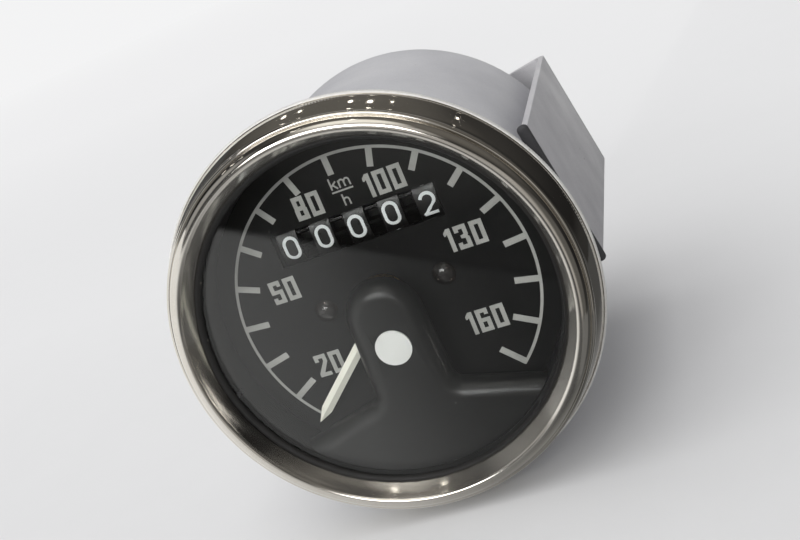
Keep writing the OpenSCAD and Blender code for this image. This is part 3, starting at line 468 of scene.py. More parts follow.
wallPaint = makeMaterial("wallPaint", {"base": rgb(15, 15, 15), "shade": rgb(21, 21, 21),
    "speck": rgb(96, 94, 92), "grain": 3800, "cloud": 80, "speckScale": 240, "speckAmount": 0.01,
    "rough": (0.4, 0.55), "bump": 0.12})
maskPlastic = makeMaterial("maskPlastic", {"base": rgb(12, 12, 12), "shade": rgb(16, 16, 16),
    "speck": rgb(70, 68, 68), "grain": 3000, "cloud": 60, "speckScale": 420, "speckAmount": 0.012,
    "rough": (0.28, 0.35), "bump": 0.03})
printInk = makeMaterial("printInk", {"base": rgb(172, 172, 168), "shade": rgb(158, 158, 154),
    "grain": 5200, "cloud": 160, "rough": (0.6, 0.75), "bump": 0.15})
figureInk = makeMaterial("figureInk", {"base": rgb(228, 232, 232), "shade": rgb(212, 217, 218),
    "grain": 4200, "cloud": 200, "rough": (0.5, 0.62), "bump": 0.1})
wheelPlastic = makeMaterial("wheelPlastic", {"base": rgb(9, 9, 9), "shade": rgb(14, 13, 12),
    "speck": rgb(120, 112, 104), "grain": 3600, "cloud": 300, "speckScale": 500, "speckAmount": 0.03,
    "rough": (0.26, 0.42), "bump": 0.2})
discEnamel = makeMaterial("discEnamel", {"base": rgb(222, 223, 221), "shade": rgb(212, 213, 210),
    "grain": 3800, "cloud": 200, "rough": (0.4, 0.5), "bump": 0.1})
needlePaint = makeMaterial("needlePaint", {"base": rgb(238, 237, 226), "shade": rgb(228, 227, 214),
    "speck": rgb(150, 146, 128), "grain": 4200, "cloud": 220, "speckScale": 320, "speckAmount": 0.02,
    "rough": (0.42, 0.55), "bump": 0.12})
# The pale specks on the black screw heads are painted highlights
screwBlack = makeMaterial("screwBlack", {"base": rgb(12, 11, 10), "shade": rgb(30, 25, 23),
    "speck": rgb(165, 150, 140), "grain": 1000, "cloud": 500, "speckScale": 800, "speckAmount": 0.3,
    "rough": (0.14, 0.26), "coat": 0.6, "coatRough": 0.08, "bump": 0.9, "bumpDepth": 0.14})
rubberBlack = makeMaterial("rubberBlack", {"base": rgb(62, 62, 64), "shade": rgb(74, 73, 75),
    "speck": rgb(104, 101, 98), "grain": 2400, "cloud": 120, "speckScale": 380, "speckAmount": 0.03,
    "rough": (0.55, 0.72), "bump": 0.3})
sealBlack = makeMaterial("sealBlack", {"base": rgb(13, 12, 12), "shade": rgb(24, 23, 22),
    "speck": rgb(80, 76, 70), "grain": 1800, "cloud": 200, "speckScale": 500, "speckAmount": 0.05,
    "rough": (0.5, 0.68), "bump": 0.4, "bumpDepth": 0.05})
brassTurned = makeMaterial("brassTurned", {"base": rgb(196, 160, 92), "shade": rgb(168, 130, 66),
    "grain": 2600, "cloud": 200, "rough": (0.22, 0.34), "metallic": 1.0, "lines": (5200, 0.5), "bump": 0.08})
steelTurned = makeMaterial("steelTurned", {"base": rgb(176, 178, 180), "shade": rgb(138, 140, 143),
    "grain": 2600, "cloud": 160, "rough": (0.24, 0.38), "metallic": 1.0, "lines": (5200, 0.5), "bump": 0.08})
zincPlate = makeMaterial("zincPlate", {"base": rgb(190, 188, 178), "shade": rgb(162, 158, 144),
    "speck": rgb(110, 102, 86), "grain": 1900, "cloud": 260, "speckScale": 620, "speckAmount": 0.05,
    "rough": (0.3, 0.46), "metallic": 1.0, "bump": 0.12})
castZinc = makeMaterial("castZinc", {"base": rgb(158, 159, 160), "shade": rgb(128, 129, 131),
    "speck": rgb(92, 92, 92), "grain": 1300, "cloud": 160, "speckScale": 520, "speckAmount": 0.06,
    "rough": (0.46, 0.62), "metallic": 0.9, "bump": 0.35, "bumpDepth": 0.05})
cupAluminium = makeMaterial("cupAluminium", {"base": rgb(206, 207, 208), "shade": rgb(182, 183, 185),
    "grain": 2600, "cloud": 140, "rough": (0.28, 0.4), "metallic": 1.0, "lines": (4200, 0.6), "bump": 0.1})
springBronze = makeMaterial("springBronze", {"base": rgb(190, 140, 90), "shade": rgb(160, 112, 66),
    "grain": 3200, "cloud": 240, "rough": (0.24, 0.34), "metallic": 1.0, "bump": 0.06})
magnetDark = makeMaterial("magnetDark", {"base": rgb(74, 74, 78), "shade": rgb(54, 54, 58),
    "grain": 1500, "cloud": 200, "rough": (0.5, 0.66), "metallic": 0.6, "bump": 0.3, "bumpDepth": 0.04})
ironDark = makeMaterial("ironDark", {"base": rgb(96, 95, 94), "shade": rgb(70, 69, 68),
    "speck": rgb(104, 72, 48), "grain": 1700, "cloud": 180, "speckScale": 420, "speckAmount": 0.05,
    "rough": (0.4, 0.56), "metallic": 0.9, "bump": 0.2})
frameSteel = makeMaterial("frameSteel", {"base": rgb(170, 171, 172), "shade": rgb(142, 143, 145),
    "grain": 2200, "cloud": 120, "rough": (0.34, 0.48), "metallic": 1.0, "bump": 0.1})
pinionNylon = makeMaterial("pinionNylon", {"base": rgb(224, 221, 210), "shade": rgb(208, 204, 190),
    "grain": 3200, "cloud": 240, "rough": (0.4, 0.55), "bump": 0.1})
clearGlass = makeGlass("clearGlass", (0.985, 0.99, 0.985, 1), (0.975, 0.985, 0.975, 1), 0.0)
bulbGlass = makeGlass("bulbGlass", (0.97, 0.96, 0.92, 1), (0.95, 0.94, 0.89, 1), 0.04)
wearInsideAndPaintedDark(chromePlate)
darkenBands(wheelPlastic)
print("looks made")

nodeLooks = {
    canPaint: ["can"], chromePlate: ["bezel"], clearGlass: ["lens"], bulbGlass: ["lamp_bulb"],
    rubberBlack: ["lens_gasket", "clamp_pads"], wallPaint: ["inner_ring"], dialPaint: ["dial_plate"],
    screwBlack: ["dial_screws"], maskPlastic: ["pointer_mask"], discEnamel: ["mask_disc"],
    needlePaint: ["pointer"], brassTurned: ["pointer_boss", "pivot_bush", "spindle_bush", "cross_wheel", "lay_wheel"],
    steelTurned: ["pointer_arbor", "input_spindle", "cross_shaft", "lay_shaft", "counter_axle", "pinion_shaft"],
    cupAluminium: ["drag_cup"], springBronze: ["hairspring"], castZinc: ["front_plate", "rear_plate"],
    zincPlate: ["front_plate_screws", "rear_plate_screws", "drive_collar", "lamp_holder", "clamp_studs",
                "spring_washers", "stud_nut_1", "stud_nut_2"],
    magnetDark: ["drive_magnet"], ironDark: ["return_cup"], frameSteel: ["counter_frame"],
    clampPaint: ["clamp_bracket"], wheelPlastic: ["figure_wheel_%d" % k for k in range(1, 6)],
    pinionNylon: ["counter_gear"] + ["transfer_pinion_%d" % k for k in range(1, 5)],
}
for look, names in nodeLooks.items():
    for n in names:
        nodes[n].data.materials.clear()
        nodes[n].data.materials.append(look)
assert {n for names in nodeLooks.values() for n in names} == set(nodes)


# Chromed bezel: one turned shell and a knurled rear rim, profiles as radius and depth
bezel = {"lip": [(35.75, -4.9), (35.5, -4.92)], "lipRound": ((35.62, -5.14), 0.22), "slopeFoot": (35.79, -5.46),
         "slope": ((35.85, -5.58), (37.4, -8.79)), "slopeBulge": 0.03, "slopeTop": (37.52, -9.04),
         "apex": 38.35, "front": -9.6, "innerR": 0.9, "outerR": 1.8, "wall": 0.5,
         "beadFoot": (40.14, -7.88), "bead": (40.5, -7.4), "beadR": 0.5,
         "skirt": ((41.02, -7.0), (42.38, -1.3)), "bulge": 0.08,
         "rear": [(42.5, -1.12), (42.7, -1.02), (42.72, -0.08), (42.5, 0), (41.5, 0), (41.42, -0.1),
                  (41.42, -0.86), (41.5, -0.88), (41.5, -1.3), (40.3, -6.4)],
         "inside": [(36.6, -4.9), (35.75, -4.9)], "steps": 256,
         "knurl": [(42.6, -1.1), (42.86, -1.08), (43.0, -0.94), (43.0, -0.16), (42.88, -0.01), (42.6, 0),
                   (42.6, -1.1)],
         "rim": 43.0, "toothRoot": 42.7, "teeth": 420, "toothDepth": 0.07}
innerCrest = (bezel["apex"], bezel["front"] + bezel["innerR"])
outerCrest = (bezel["apex"], bezel["front"] + bezel["outerR"])


def bowed(ends, bulge, steps=8):
    (ra, ya), (rb, yb) = ends
    long = math.hypot(rb - ra, yb - ya)
    line = []
    for t in (k / steps for k in range(steps + 1)):
        out = bulge * 4 * t * (1 - t) / long
        line.append((ra + (rb - ra) * t + (yb - ya) * out, ya + (yb - ya) * t - (rb - ra) * out))
    return line


shellLine = (bezel["lip"] + arcPoints(*bezel["lipRound"], 150, 300, 8) + [bezel["slopeFoot"]]
             + bowed(bezel["slope"], bezel["slopeBulge"]) + [bezel["slopeTop"]]
             + arcPoints(innerCrest, bezel["innerR"], 212, 264, 12)
             + arcPoints(outerCrest, bezel["outerR"], 270, 350, 22)
             + [bezel["beadFoot"]] + arcPoints(bezel["bead"], bezel["beadR"], 226, 356, 18)
             + bowed(bezel["skirt"], bezel["bulge"]) + bezel["rear"]
             + arcPoints(outerCrest, bezel["outerR"] - bezel["wall"], 345, 270, 8)
             + arcPoints(innerCrest, bezel["innerR"] - bezel["wall"], 264, 212, 5) + bezel["inside"])
bezelShell = settle(turned(shellLine, bezel["steps"]), "bezelShell", angle=32)
finishPiece(bezelShell, chromePlate, "case", ["bezel"])
bezelKnurl = turned(bezel["knurl"], 2 * bezel["teeth"])
toothPitch = math.pi / bezel["teeth"]
selectVerts(bezelKnurl, lambda c: axisDistance(c) > bezel["toothRoot"] * mm
            and round(math.atan2(c.z, c.x) / toothPitch) % 2)
share = 1 - bezel["toothDepth"] / bezel["rim"]
bpy.ops.transform.resize(value=(share, 1, share), center_override=(0, 0, 0))
settle(bezelKnurl, "bezelKnurl", angle=20)
finishPiece(bezelKnurl, rimSatin, "case")
print("bezel made")


# Black sealing compound along the glass, pressed out unevenly under the lip
seal = {"line": [(35.97, -4.93), (35.95, -5.6), (35.75, -5.8), (35.42, -5.74), (35.12, -5.52), (34.92, -5.22),
                 (34.86, -4.93), (35.97, -4.93)],
        "back": -4.93, "flatten": 0.06, "inner": 35.3, "shift": 0.42, "steps": 300, "wave": 0.26, "waveSize": 1.5}
sealBead = turned(seal["line"], seal["steps"])
selectVerts(sealBead, lambda c: axisDistance(c) < seal["inner"] * mm)
bpy.ops.transform.translate(value=(seal["shift"] * mm, 0, 0))
closeMesh()
lumps = bpy.data.textures.new("sealLumps", "CLOUDS")
lumps.noise_scale = seal["waveSize"] * mm
applyModifier(sealBead, "DISPLACE", texture=lumps, texture_coords="LOCAL", strength=seal["wave"] * mm, mid_level=0.5)
selectVerts(sealBead, lambda c: c.y > (seal["back"] - seal["flatten"]) * mm)
bpy.ops.transform.resize(value=(1, 0, 1), center_override=(0, seal["back"] * mm, 0))
settle(sealBead, "sealBead", angle=60)
finishPiece(sealBead, sealBlack, "case")
print("sealing bead made")


# Dial print: ring, ticks, block numbers and the unit sign
dial = {"face": 6.05, "ink": 0.02, "sunk": 0.01, "ringIn": 30.38, "ringMid": 30.7, "ringOut": 30.98,
        "ringStart": 223.5, "ringSteps": 220, "start": 210.43, "step": 17.074, "ticks": 16, "tickW": 1.3,
        "tickDeep": 0.03, "tickEdge": 0.006, "tickSunk": 0.011, "tickFar": 30.9, "innerAt": (0.28, 1.0),
        "innerR": 25.65, "numberHigh": 4.95, "numberGap": 0.62, "unitStroke": 0.34, "unitDeep": 0.04,
        "unitSunk": 0.005}
lastTick = dial["start"] - (dial["ticks"] - 1) * dial["step"]
sweep = dial["ringStart"] - lastTick + math.degrees(dial["tickW"] / 2 / dial["ringMid"])
inkBack, inkFront = dial["face"] + dial["sunk"], dial["face"] - dial["ink"]
scaleRing = turned([(dial["ringIn"], inkBack), (dial["ringIn"], inkFront), (dial["ringOut"], inkFront),
                    (dial["ringOut"], inkBack)], dial["ringSteps"], sweep)
closeMesh()
scaleRing.rotation_euler = (0, -math.radians(dial["ringStart"] - sweep), 0)
settle(scaleRing, "scaleRing")
finishPiece(scaleRing, printInk, "case")

oneTick = roundedBlock((1, dial["tickDeep"], dial["tickW"]), dial["tickEdge"], segments=1)
innerAt = Vector(dial["innerAt"])  # centre of the circle that the ticks' inner ends follow
ticks = []
for k in range(dial["ticks"]):
    a = math.radians(dial["start"] - k * dial["step"])
    out = innerAt.dot(Vector((math.cos(a), math.sin(a))))
    near = out + math.sqrt(dial["innerR"] ** 2 - innerAt.length_squared + out ** 2)
    mid = (dial["tickFar"] + near) / 2
    tick = copyPiece(oneTick, Matrix.Rotation(-a, 4, "Y")
                     @ Matrix.Translation((mid * mm, (dial["face"] - dial["tickSunk"]) * mm, 0))
                     @ Matrix.Diagonal((dial["tickFar"] - near, 1, 1, 1)))
    applyPlace(tick)
    ticks.append(tick)
bpy.data.objects.remove(oneTick)
scaleTicks = settle(join(ticks), "scaleTicks")
finishPiece(scaleTicks, printInk, "case")

blockDigits = {  # width, then the outline and its holes
    "0": (2.6, [[(0, 0), (2.6, 0), (2.6, 4.95), (0, 4.95)],
                [(0.88, 0.88), (1.72, 0.88), (1.72, 4.07), (0.88, 4.07)]]),
    "1": (1.5, [[(0.65, 0), (1.5, 0), (1.5, 4.95), (0.7, 4.95), (0, 4.2), (0, 3.55), (0.3, 3.5), (0.65, 3.8)]]),
    "2": (2.65, [[(0, 0), (2.6, 0), (2.6, 0.85), (1.2, 0.85), (2.65, 3.2), (2.65, 4.95), (0.05, 4.95), (0.05, 3.4),
                  (0.9, 3.4), (0.9, 4.1), (1.8, 4.1), (1.8, 3.4), (0, 0.8)]]),
    "3": (2.6, [[(0, 0), (2.6, 0), (2.6, 2.2), (2.3, 2.5), (2.5, 2.8), (2.5, 4.95), (0, 4.95), (0, 3.55),
                 (0.85, 3.55), (0.85, 4.1), (1.65, 4.1), (1.65, 2.95), (0.95, 2.82), (0.95, 2.2), (1.75, 2.08),
                 (1.75, 0.85), (0.85, 0.85), (0.85, 1.4), (0, 1.4)]]),
    "5": (2.6, [[(0, 0), (2.6, 0), (2.6, 2.95), (0.88, 2.95), (0.88, 4.1), (1.7, 4.1), (1.7, 3.65), (2.5, 3.65),
                 (2.5, 4.95), (0, 4.95), (0, 2.15), (1.72, 2.15), (1.72, 0.85), (0.88, 0.85), (0.88, 1.35),
                 (0, 1.35)]]),
    "6": (2.6, [[(0, 0), (2.6, 0), (2.6, 2.95), (0.88, 2.95), (0.88, 4.1), (1.7, 4.1), (1.7, 3.6), (2.5, 3.6),
                 (2.5, 4.95), (0, 4.95)], [(0.88, 0.9), (1.7, 0.9), (1.7, 2.1), (0.88, 2.1)]]),
    "8": (2.6, [[(0, 0), (2.6, 0), (2.6, 2.3), (2.45, 2.5), (2.5, 2.7), (2.5, 4.95), (0.1, 4.95), (0.1, 2.7),
                 (0.15, 2.5), (0, 2.3)],
                [(0.95, 0.95), (1.65, 0.95), (1.65, 2.0), (0.95, 2.0)],
                [(1.0, 2.95), (1.6, 2.95), (1.6, 4.05), (1.0, 4.05)]]),
}
labels = [("20", -16.78, -10.33), ("50", -19.2, 7.5), ("80", -7.38, 22.42), ("100", 8.88, 22.15),
          ("130", 19.55, 6.58), ("160", 17.28, -11.08)]


def curveMesh(name, runs, **settings):
    c = bpy.data.curves.new(name, "CURVE")
    for key, value in settings.items():
        setattr(c, key, value)
    for points, closed in runs:
        s = c.splines.new("POLY")
        s.points.add(len(points) - 1)
        for point, (x, z) in zip(s.points, points):
            point.co = (x * mm, z * mm, 0, 1) if c.dimensions == "2D" else (x * mm, 0, z * mm, 1)
        s.use_cyclic_u = closed
    o = bpy.data.objects.new(name, c)
    scene.collection.objects.link(o)
    pick(o)
    bpy.ops.object.convert(target="MESH")
    return bpy.context.object


numbers = []
for word, cx, cz in labels:
    x = cx - (sum(blockDigits[d][0] for d in word) + dial["numberGap"] * (len(word) - 1)) / 2
    for d in word:
        wide, loops = blockDigits[d]
        o = curveMesh("digit", [(loop, True) for loop in loops], dimensions="2D", fill_mode="BOTH",
                      extrude=dial["ink"] / 2 * mm)
        openMesh()
        bpy.ops.mesh.remove_doubles(threshold=weld)
        mergeFlats()
        place = (x * mm, (dial["face"] - dial["ink"] / 2) * mm, (cz - dial["numberHigh"] / 2) * mm)
        o.matrix_world = Matrix.Translation(place) @ Matrix.Rotation(math.radians(90), 4, "X")
        applyPlace(o)
        numbers.append(o)
        x += wide + dial["numberGap"]
dialNumbers = settle(join(numbers), "dialNumbers")
finishPiece(dialNumbers, printInk, "case")


def straightRuns(points, over, limit=40):
    runs = [[Vector(points[0])]]
    for a, b, c in zip(points, points[1:], points[2:]):
        a, b, c = Vector(a), Vector(b), Vector(c)
        runs[-1].append(b)
        if (c - b).angle(b - a) > math.radians(limit):
            runs[-1][-1] = b + (b - a).normalized() * over
            runs.append([b - (c - b).normalized() * over])
    runs[-1].append(Vector(points[-1]))
    return runs


strokeLap = 0.3  # overlap of two runs at a corner, in stroke widths


def strokeMesh(name, strokes, width, deep):
    runs = [(run, closed) for points, closed in strokes
            for run in ([points] if closed else straightRuns(points, width * strokeLap))]
    o = curveMesh(name, runs, dimensions="3D", bevel_depth=width / 2 * mm, bevel_resolution=2, use_fill_caps=True)
    openMesh()
    bpy.ops.transform.resize(value=(1, deep / width, 1), center_override=(0, 0, 0))
    bpy.ops.mesh.normals_make_consistent(inside=False)
    closeMesh()
    return o


unitStrokes = [[(-1.45, 23.65), (-1.45, 26.05)], [(-0.25, 25.2), (-1.4, 24.35)], [(-1.05, 24.65), (-0.2, 23.65)],
               [(0.3, 23.65), (0.3, 25.2)],
               [(0.3, 24.7)] + arcPoints((0.85, 24.7), 0.5, 160, 20, 6) + [(1.37, 23.65)],
               [(1.37, 24.7)] + arcPoints((1.95, 24.7), 0.5, 160, 20, 6) + [(2.47, 23.65)],
               [(-1.75, 23.1), (2.75, 23.1)], [(-0.05, 19.95), (-0.05, 22.35)],
               [(-0.05, 20.95)] + arcPoints((0.5, 20.95), 0.55, 165, 15, 6) + [(1.06, 19.95)]]
unitSign = strokeMesh("unitSign", [(s, False) for s in unitStrokes], dial["unitStroke"], dial["unitDeep"])
unitSign.location = (0, (dial["face"] - dial["unitSunk"]) * mm, 0)
settle(unitSign, "unitSign", angle=60)
finishPiece(unitSign, printInk, "case")
print("dial print made")


# Counter figures, on each wheel's band
figures = {"axis": (17.15, 15.0), "radius": 9.8, "high": 4.3, "wide": 2.7, "stroke": 0.68, "deep": 0.06,
           "first": -14.80024, "turn": 36, "shown": [0, 0, 0, 0, 2], "shift": [0.3, 0.1, -0.2, -0.1, 0.1],
           "lift": [0, 0.1, -0.1, 0.2, -0.3]}
w, h = figures["wide"] / 2, figures["high"] / 2  # half sizes
figureStrokes = {
    0: [(arcPoints((0, h - w), w, 0, 180, 10) + arcPoints((0, w - h), w, 180, 360, 10), True)],
    1: [([(-0.8, h - 0.75), (0.15, h), (0.15, -h)], False)],
    2: [(arcPoints((0, h - w), w, 165, -30, 12) + [(-w, -h), (w, -h)], False)],
    3: [(arcPoints((0, h - 1.1), 1.1, 150, -90, 10) + arcPoints((0, -h + 1.2), 1.2, 80, -150, 10), False)],
    4: [([(0.55, -h), (0.55, h), (-w, -0.8), (w, -0.8)], False)],
    5: [([(1.1, h), (-0.95, h), (-1.1, 0.35)] + arcPoints((0, -h + w), w, 125, -150, 12), False)],
    6: [(arcPoints((0, -h + w), w, 0, 360, 16), True), ([(-w, -h + w), (-0.7, 0.9), (0.6, h)], False)],
    7: [([(-w, h), (w, h), (-0.3, -h)], False)],
    8: [(arcPoints((0, h - 1.05), 1.05, 0, 360, 14), True), (arcPoints((0, -h + 1.2), 1.2, 0, 360, 14), True)],
    9: [(arcPoints((0, h - w), w, 0, 360, 16), True), ([(w, h - w), (0.7, -0.9), (-0.6, -h)], False)],
}
figureFlat = [strokeMesh("figure%d" % d, s, figures["stroke"], figures["deep"]) for d, s in figureStrokes.items()]
for o in figureFlat:
    pick(o)
    openMesh()
    bpy.ops.mesh.subdivide(number_cuts=1)
    closeMesh()
axisY, axisZ, reach = (value * mm for value in (*figures["axis"], figures["radius"]))
for k, shown in enumerate(figures["shown"]):
    middle = (figures["first"] + k * wheelBand["pitch"] + figures["shift"][k]) * mm
    group = []
    for d, flat in enumerate(figureFlat):
        o = copyPiece(flat, Matrix())
        turn = math.radians((d - shown) * figures["turn"]) + figures["lift"][k] / figures["radius"]
        for v in o.data.vertices:  # wraps the flat figure round the wheel
            a = v.co.z / reach + turn
            r = reach - v.co.y
            v.co = Vector((v.co.x + middle, axisY - r * math.cos(a), axisZ + r * math.sin(a)))
        group.append(o)
    ring = settle(join(group), "wheelFigures%d" % (k + 1), angle=60)
    finishPiece(ring, figureInk, "figure_%d" % (k + 1))
for o in figureFlat:
    bpy.data.objects.remove(o)
print("counter figures made")


# Moulded mask: the CAD form with its facets smoothed
maskShell = settle(fromNode("pointer_mask"), "maskShell", angle=38)
applyModifier(maskShell, "WEIGHTED_NORMAL", keep_sharp=True, weight=80)
finishPiece(maskShell, maskPlastic, "case", ["pointer_mask"])
print("mask made")


# Clamp strip with its edges broken, and round-ended rubber cords along the legs' front edges
clamp = {"turn": -10.3, "legMid": 39.55, "legFront": 12.65, "reach": 2.2, "edge": 0.22, "cord": (2.3, 2.0, 31.0),
         "cordAt": 10.0, "cordRound": 0.94, "stud": 24.0}
clampTurn = Matrix.Rotation(math.radians(clamp["turn"]), 4, "Y")


def onSide(side, across, along=0.0):
    return clampTurn @ Matrix.Translation((side * across * mm, along * mm, 0))


def bothSides(piece, across, along=0.0):
    copies = [copyPiece(piece, onSide(side, across, along)) for side in (-1, 1)]
    bpy.data.objects.remove(piece)
    return join(copies)


clampStrip = fromNode("clamp_bracket")
selectVerts(clampStrip, lambda c: c.y < clamp["legFront"] * mm)
bpy.ops.transform.translate(value=(0, -clamp["reach"] * mm, 0))
breakEdges(clampStrip, clamp["edge"])
settle(clampStrip, "clampStrip")
finishPiece(clampStrip, clampPaint, "clamp", ["clamp_bracket"])
cord = roundedBlock(clamp["cord"], clamp["cordRound"], segments=6)
padCords = settle(bothSides(cord, clamp["legMid"], clamp["cordAt"]), "padCords", angle=60)
finishPiece(padCords, rubberBlack, "clamp", ["clamp_pads"])
print("clamp made")


# Rear: cut threads on the cable collar and the studs, broken edges on nuts, screws and lamp holder
threadForm = (0.38, 0.54, 0.92)  # crest's start, crest's end and foot, in pitches


def threadRidge(root, crest, pitch, start, turns, steps):
    rise, fall, foot = (start + part * pitch for part in threadForm)
    ridge = chain([(root, start, 0), (crest, rise, 0), (crest, fall, 0), (root, foot, 0)])
    closeMesh()
    applyModifier(ridge, "SCREW", axis="Y", angle=math.radians(360), screw_offset=pitch * mm, iterations=turns,
                  steps=steps, render_steps=steps, use_merge_vertices=True, merge_threshold=weld)
    openMesh()
    bpy.ops.mesh.normals_make_consistent(inside=False)
    closeMesh()
    return ridge


collar = {"bore": 4.0, "flange": 11.0, "shank": 8.6, "core": 8.42, "crest": 8.98, "mouth": 6.5, "front": 55.45,
          "floor": 65.0, "thread": 77.5, "end": 86.0, "mouthDeep": 5.0, "edge": 0.3, "root": 0.08, "lead": 0.05,
          "pitch": 1.0, "turns": 7, "steps": 96, "threadSteps": 72}
bore, core, mouth, edge = (collar[key] for key in ("bore", "core", "mouth", "edge"))
front, canFloor, thread, end = (collar[key] for key in ("front", "floor", "thread", "end"))
collarLine = [(bore, front), (collar["flange"], front), (collar["flange"], canFloor), (collar["shank"], canFloor),
              (collar["shank"], thread - edge), (core, thread), (core, end - edge), (core - edge, end),
              (mouth + edge, end), (mouth, end - edge), (mouth, end - collar["mouthDeep"]),
              (bore, end - collar["mouthDeep"]), (bore, front)]
collarCore = turned(collarLine, collar["steps"])
closeMesh()
collarRidge = threadRidge(core - collar["root"], collar["crest"], collar["pitch"], thread + collar["lead"],
                          collar["turns"], collar["threadSteps"])
cableCollar = settle(join([collarCore, collarRidge]), "cableCollar", angle=30)
finishPiece(cableCollar, zincPlate, "case", ["drive_collar"])

stud = {"head": 4.5, "front": 62.5, "floor": 65.0, "core": 2.1, "crest": 2.48, "end": 87.5, "headEdge": 0.2,
        "shank": 1.4, "threadAt": 1.5, "coreAt": 1.8, "tip": (0.5, 0.4), "root": 0.06, "pitch": 0.8, "turns": 25,
        "steps": 40, "threadSteps": 36}
head, core, crest, edge = (stud[key] for key in ("head", "core", "crest", "headEdge"))
front, canFloor, end = (stud[key] for key in ("front", "floor", "end"))
studLine = [(0, front), (head - edge, front), (head, front + edge), (head, canFloor), (crest, canFloor),
            (crest, canFloor + stud["shank"]), (core, canFloor + stud["coreAt"]), (core, end - stud["tip"][1]),
            (core - stud["tip"][0], end), (0, end)]
studCore = turned(studLine, stud["steps"])
closeMesh()
studRidge = threadRidge(core - stud["root"], crest, stud["pitch"], canFloor + stud["threadAt"], stud["turns"],
                        stud["threadSteps"])
threadedStuds = settle(bothSides(join([studCore, studRidge]), clamp["stud"]), "threadedStuds", angle=30)
finishPiece(threadedStuds, zincPlate, "case", ["clamp_studs"])

nut = {"flats": 8.0, "front": 77.5, "high": 4.0, "bore": 2.6, "boreEdge": 0.3, "faceR": 3.95, "outerR": 4.7,
       "bevel": 0.45, "steps": 48}
bore, front, end = nut["bore"], nut["front"], nut["front"] + nut["high"]
nutLine = [(bore, front), (nut["faceR"], front), (nut["outerR"], front + nut["bevel"]),
           (nut["outerR"], end - nut["bevel"]), (nut["faceR"], end), (bore + nut["boreEdge"], end),
           (bore, end - nut["boreEdge"]), (bore, front)]
nutRing = turned(nutLine, nut["steps"])
closeMesh()
deselectAll()
bpy.ops.mesh.primitive_cylinder_add(vertices=6, radius=nut["flats"] / math.sqrt(3) * mm, depth=nut["high"] * mm,
                                    location=(0, (front + end) / 2 * mm, 0),
                                    rotation=(math.radians(90), math.radians(30), 0))
hexNut = bpy.context.object
applyPlace(hexNut)
applyModifier(hexNut, "BOOLEAN", object=nutRing, operation="INTERSECT", solver="EXACT")
for k, side in ((1, -1), (2, 1)):
    o = settle(copyPiece(hexNut, onSide(side, clamp["stud"])), "studNut%d" % k, angle=25)
    finishPiece(o, zincPlate, "nut_%d" % k, ["stud_nut_%d" % k])
for o in (nutRing, hexNut):
    bpy.data.objects.remove(o)

for name, piece, look, body, slot, width in (
        ("rear_plate_screws", "rearScrews", zincPlate, "case", "screw_zinc", 0.16),
        ("lamp_holder", "lampSocket", zincPlate, "case", "screw_zinc", 0.15),
        ("spring_washers", "splitWashers", zincPlate, "clamp", "screw_zinc", 0.12),
        ("dial_screws", "dialScrews", screwBlack, "case", "screw_black", 0.08)):
    o = fromNode(name)
    breakEdges(o, width, segments=2)
    settle(o, piece, angle=40)
    finishPiece(o, look, body, [name])
print("rear pieces made")


# Floor, world and lamps
paper = {"size": 9, "gap": 0.00005, "back": (0.9, 0.9, 0.905, 1), "depth": (-0.08, 0.92),
         "tones": [(0.0, 0.6), (0.1, 0.66), (0.3, 0.76), (1.0, 0.86)], "grain": 60, "grainAmount": 0.08,
         "rough": 0.9, "specular": 0.1, "haze": (0.5, 2.6), "roomLight": (0.42, 0.42, 0.43, 1)}
deselectAll()
bpy.ops.mesh.primitive_plane_add(size=paper["size"], location=(0, 0, cadLow.z - paper["gap"]))
floor = bpy.context.object
floor.name = "floor"
floorLook, ft, floorPaint = newMaterial("floorPaper")
floorAt, _, floorY, _ = objectPlace(ft)
# Painted shade: the floor's colour is darker towards the front
depth = toneRamp(ft, remap(ft, floorY, *paper["depth"]), greys(paper["tones"]))
grain = times(ft, noise(ft, floorAt, paper["grain"], detail=4), paper["grainAmount"])
ft.links.new(mixColour(ft, grain, depth, paper["back"]), floorPaint.inputs["Base Color"])
floorPaint.inputs["Roughness"].default_value = paper["rough"]
floorPaint.inputs["Specular IOR Level"].default_value = paper["specular"]
away = addNode(ft, "VectorMath", operation="LENGTH")
ft.links.new(floorAt, away.inputs[0])
haze = addNode(ft, "Emission", {"Color": paper["back"]})
seen = addNode(ft, "LightPath").outputs["Is Camera Ray"]
far = times(ft, remap(ft, away.outputs["Value"], *paper["haze"]), seen)
mixShaders(ft, far, floorPaint.outputs[0], haze.outputs[0])
floor.data.materials.append(floorLook)

world = bpy.data.worlds.new("room")
scene.world = world
world.use_nodes = True
wt = world.node_tree
path = addNode(wt, "LightPath")
seen = maths(wt, "MAXIMUM", path.outputs["Is Camera Ray"], path.outputs["Is Transmission Ray"])
wt.links.new(mixColour(wt, seen, paper["roomLight"], paper["back"]), wt.nodes["Background"].inputs["Color"])


def lamp(name, kind, toward, far, energy, **settings):
    data = bpy.data.lights.new(name, kind)
    data.energy = energy
    for key, value in settings.items():
        setattr(data, key, value)
    o = bpy.data.objects.new(name, data)
    scene.collection.objects.link(o)
    back = Vector(toward).normalized()
    o.matrix_world = Matrix.Translation(back * far) @ (-back).to_track_quat("-Z", "Y").to_matrix().to_4x4()
    return o


keySun = lamp("keySun", "SUN", toward=(-0.34, -0.24, 0.9), far=1.0, energy=1.9, angle=math.radians(75))
keySun.visible_glossy = False
lamp("softBox", "AREA", toward=(-0.19, -0.9, 0.37), far=0.9, energy=3.1, shape="RECTANGLE", size=0.56, size_y=0.25)


# Cards that only reflections see: the lit table, and a dark room with ceiling lamps
def reflectOnly(piece, name):
    piece.name = name
    piece.visible_camera = piece.visible_diffuse = piece.visible_shadow = False


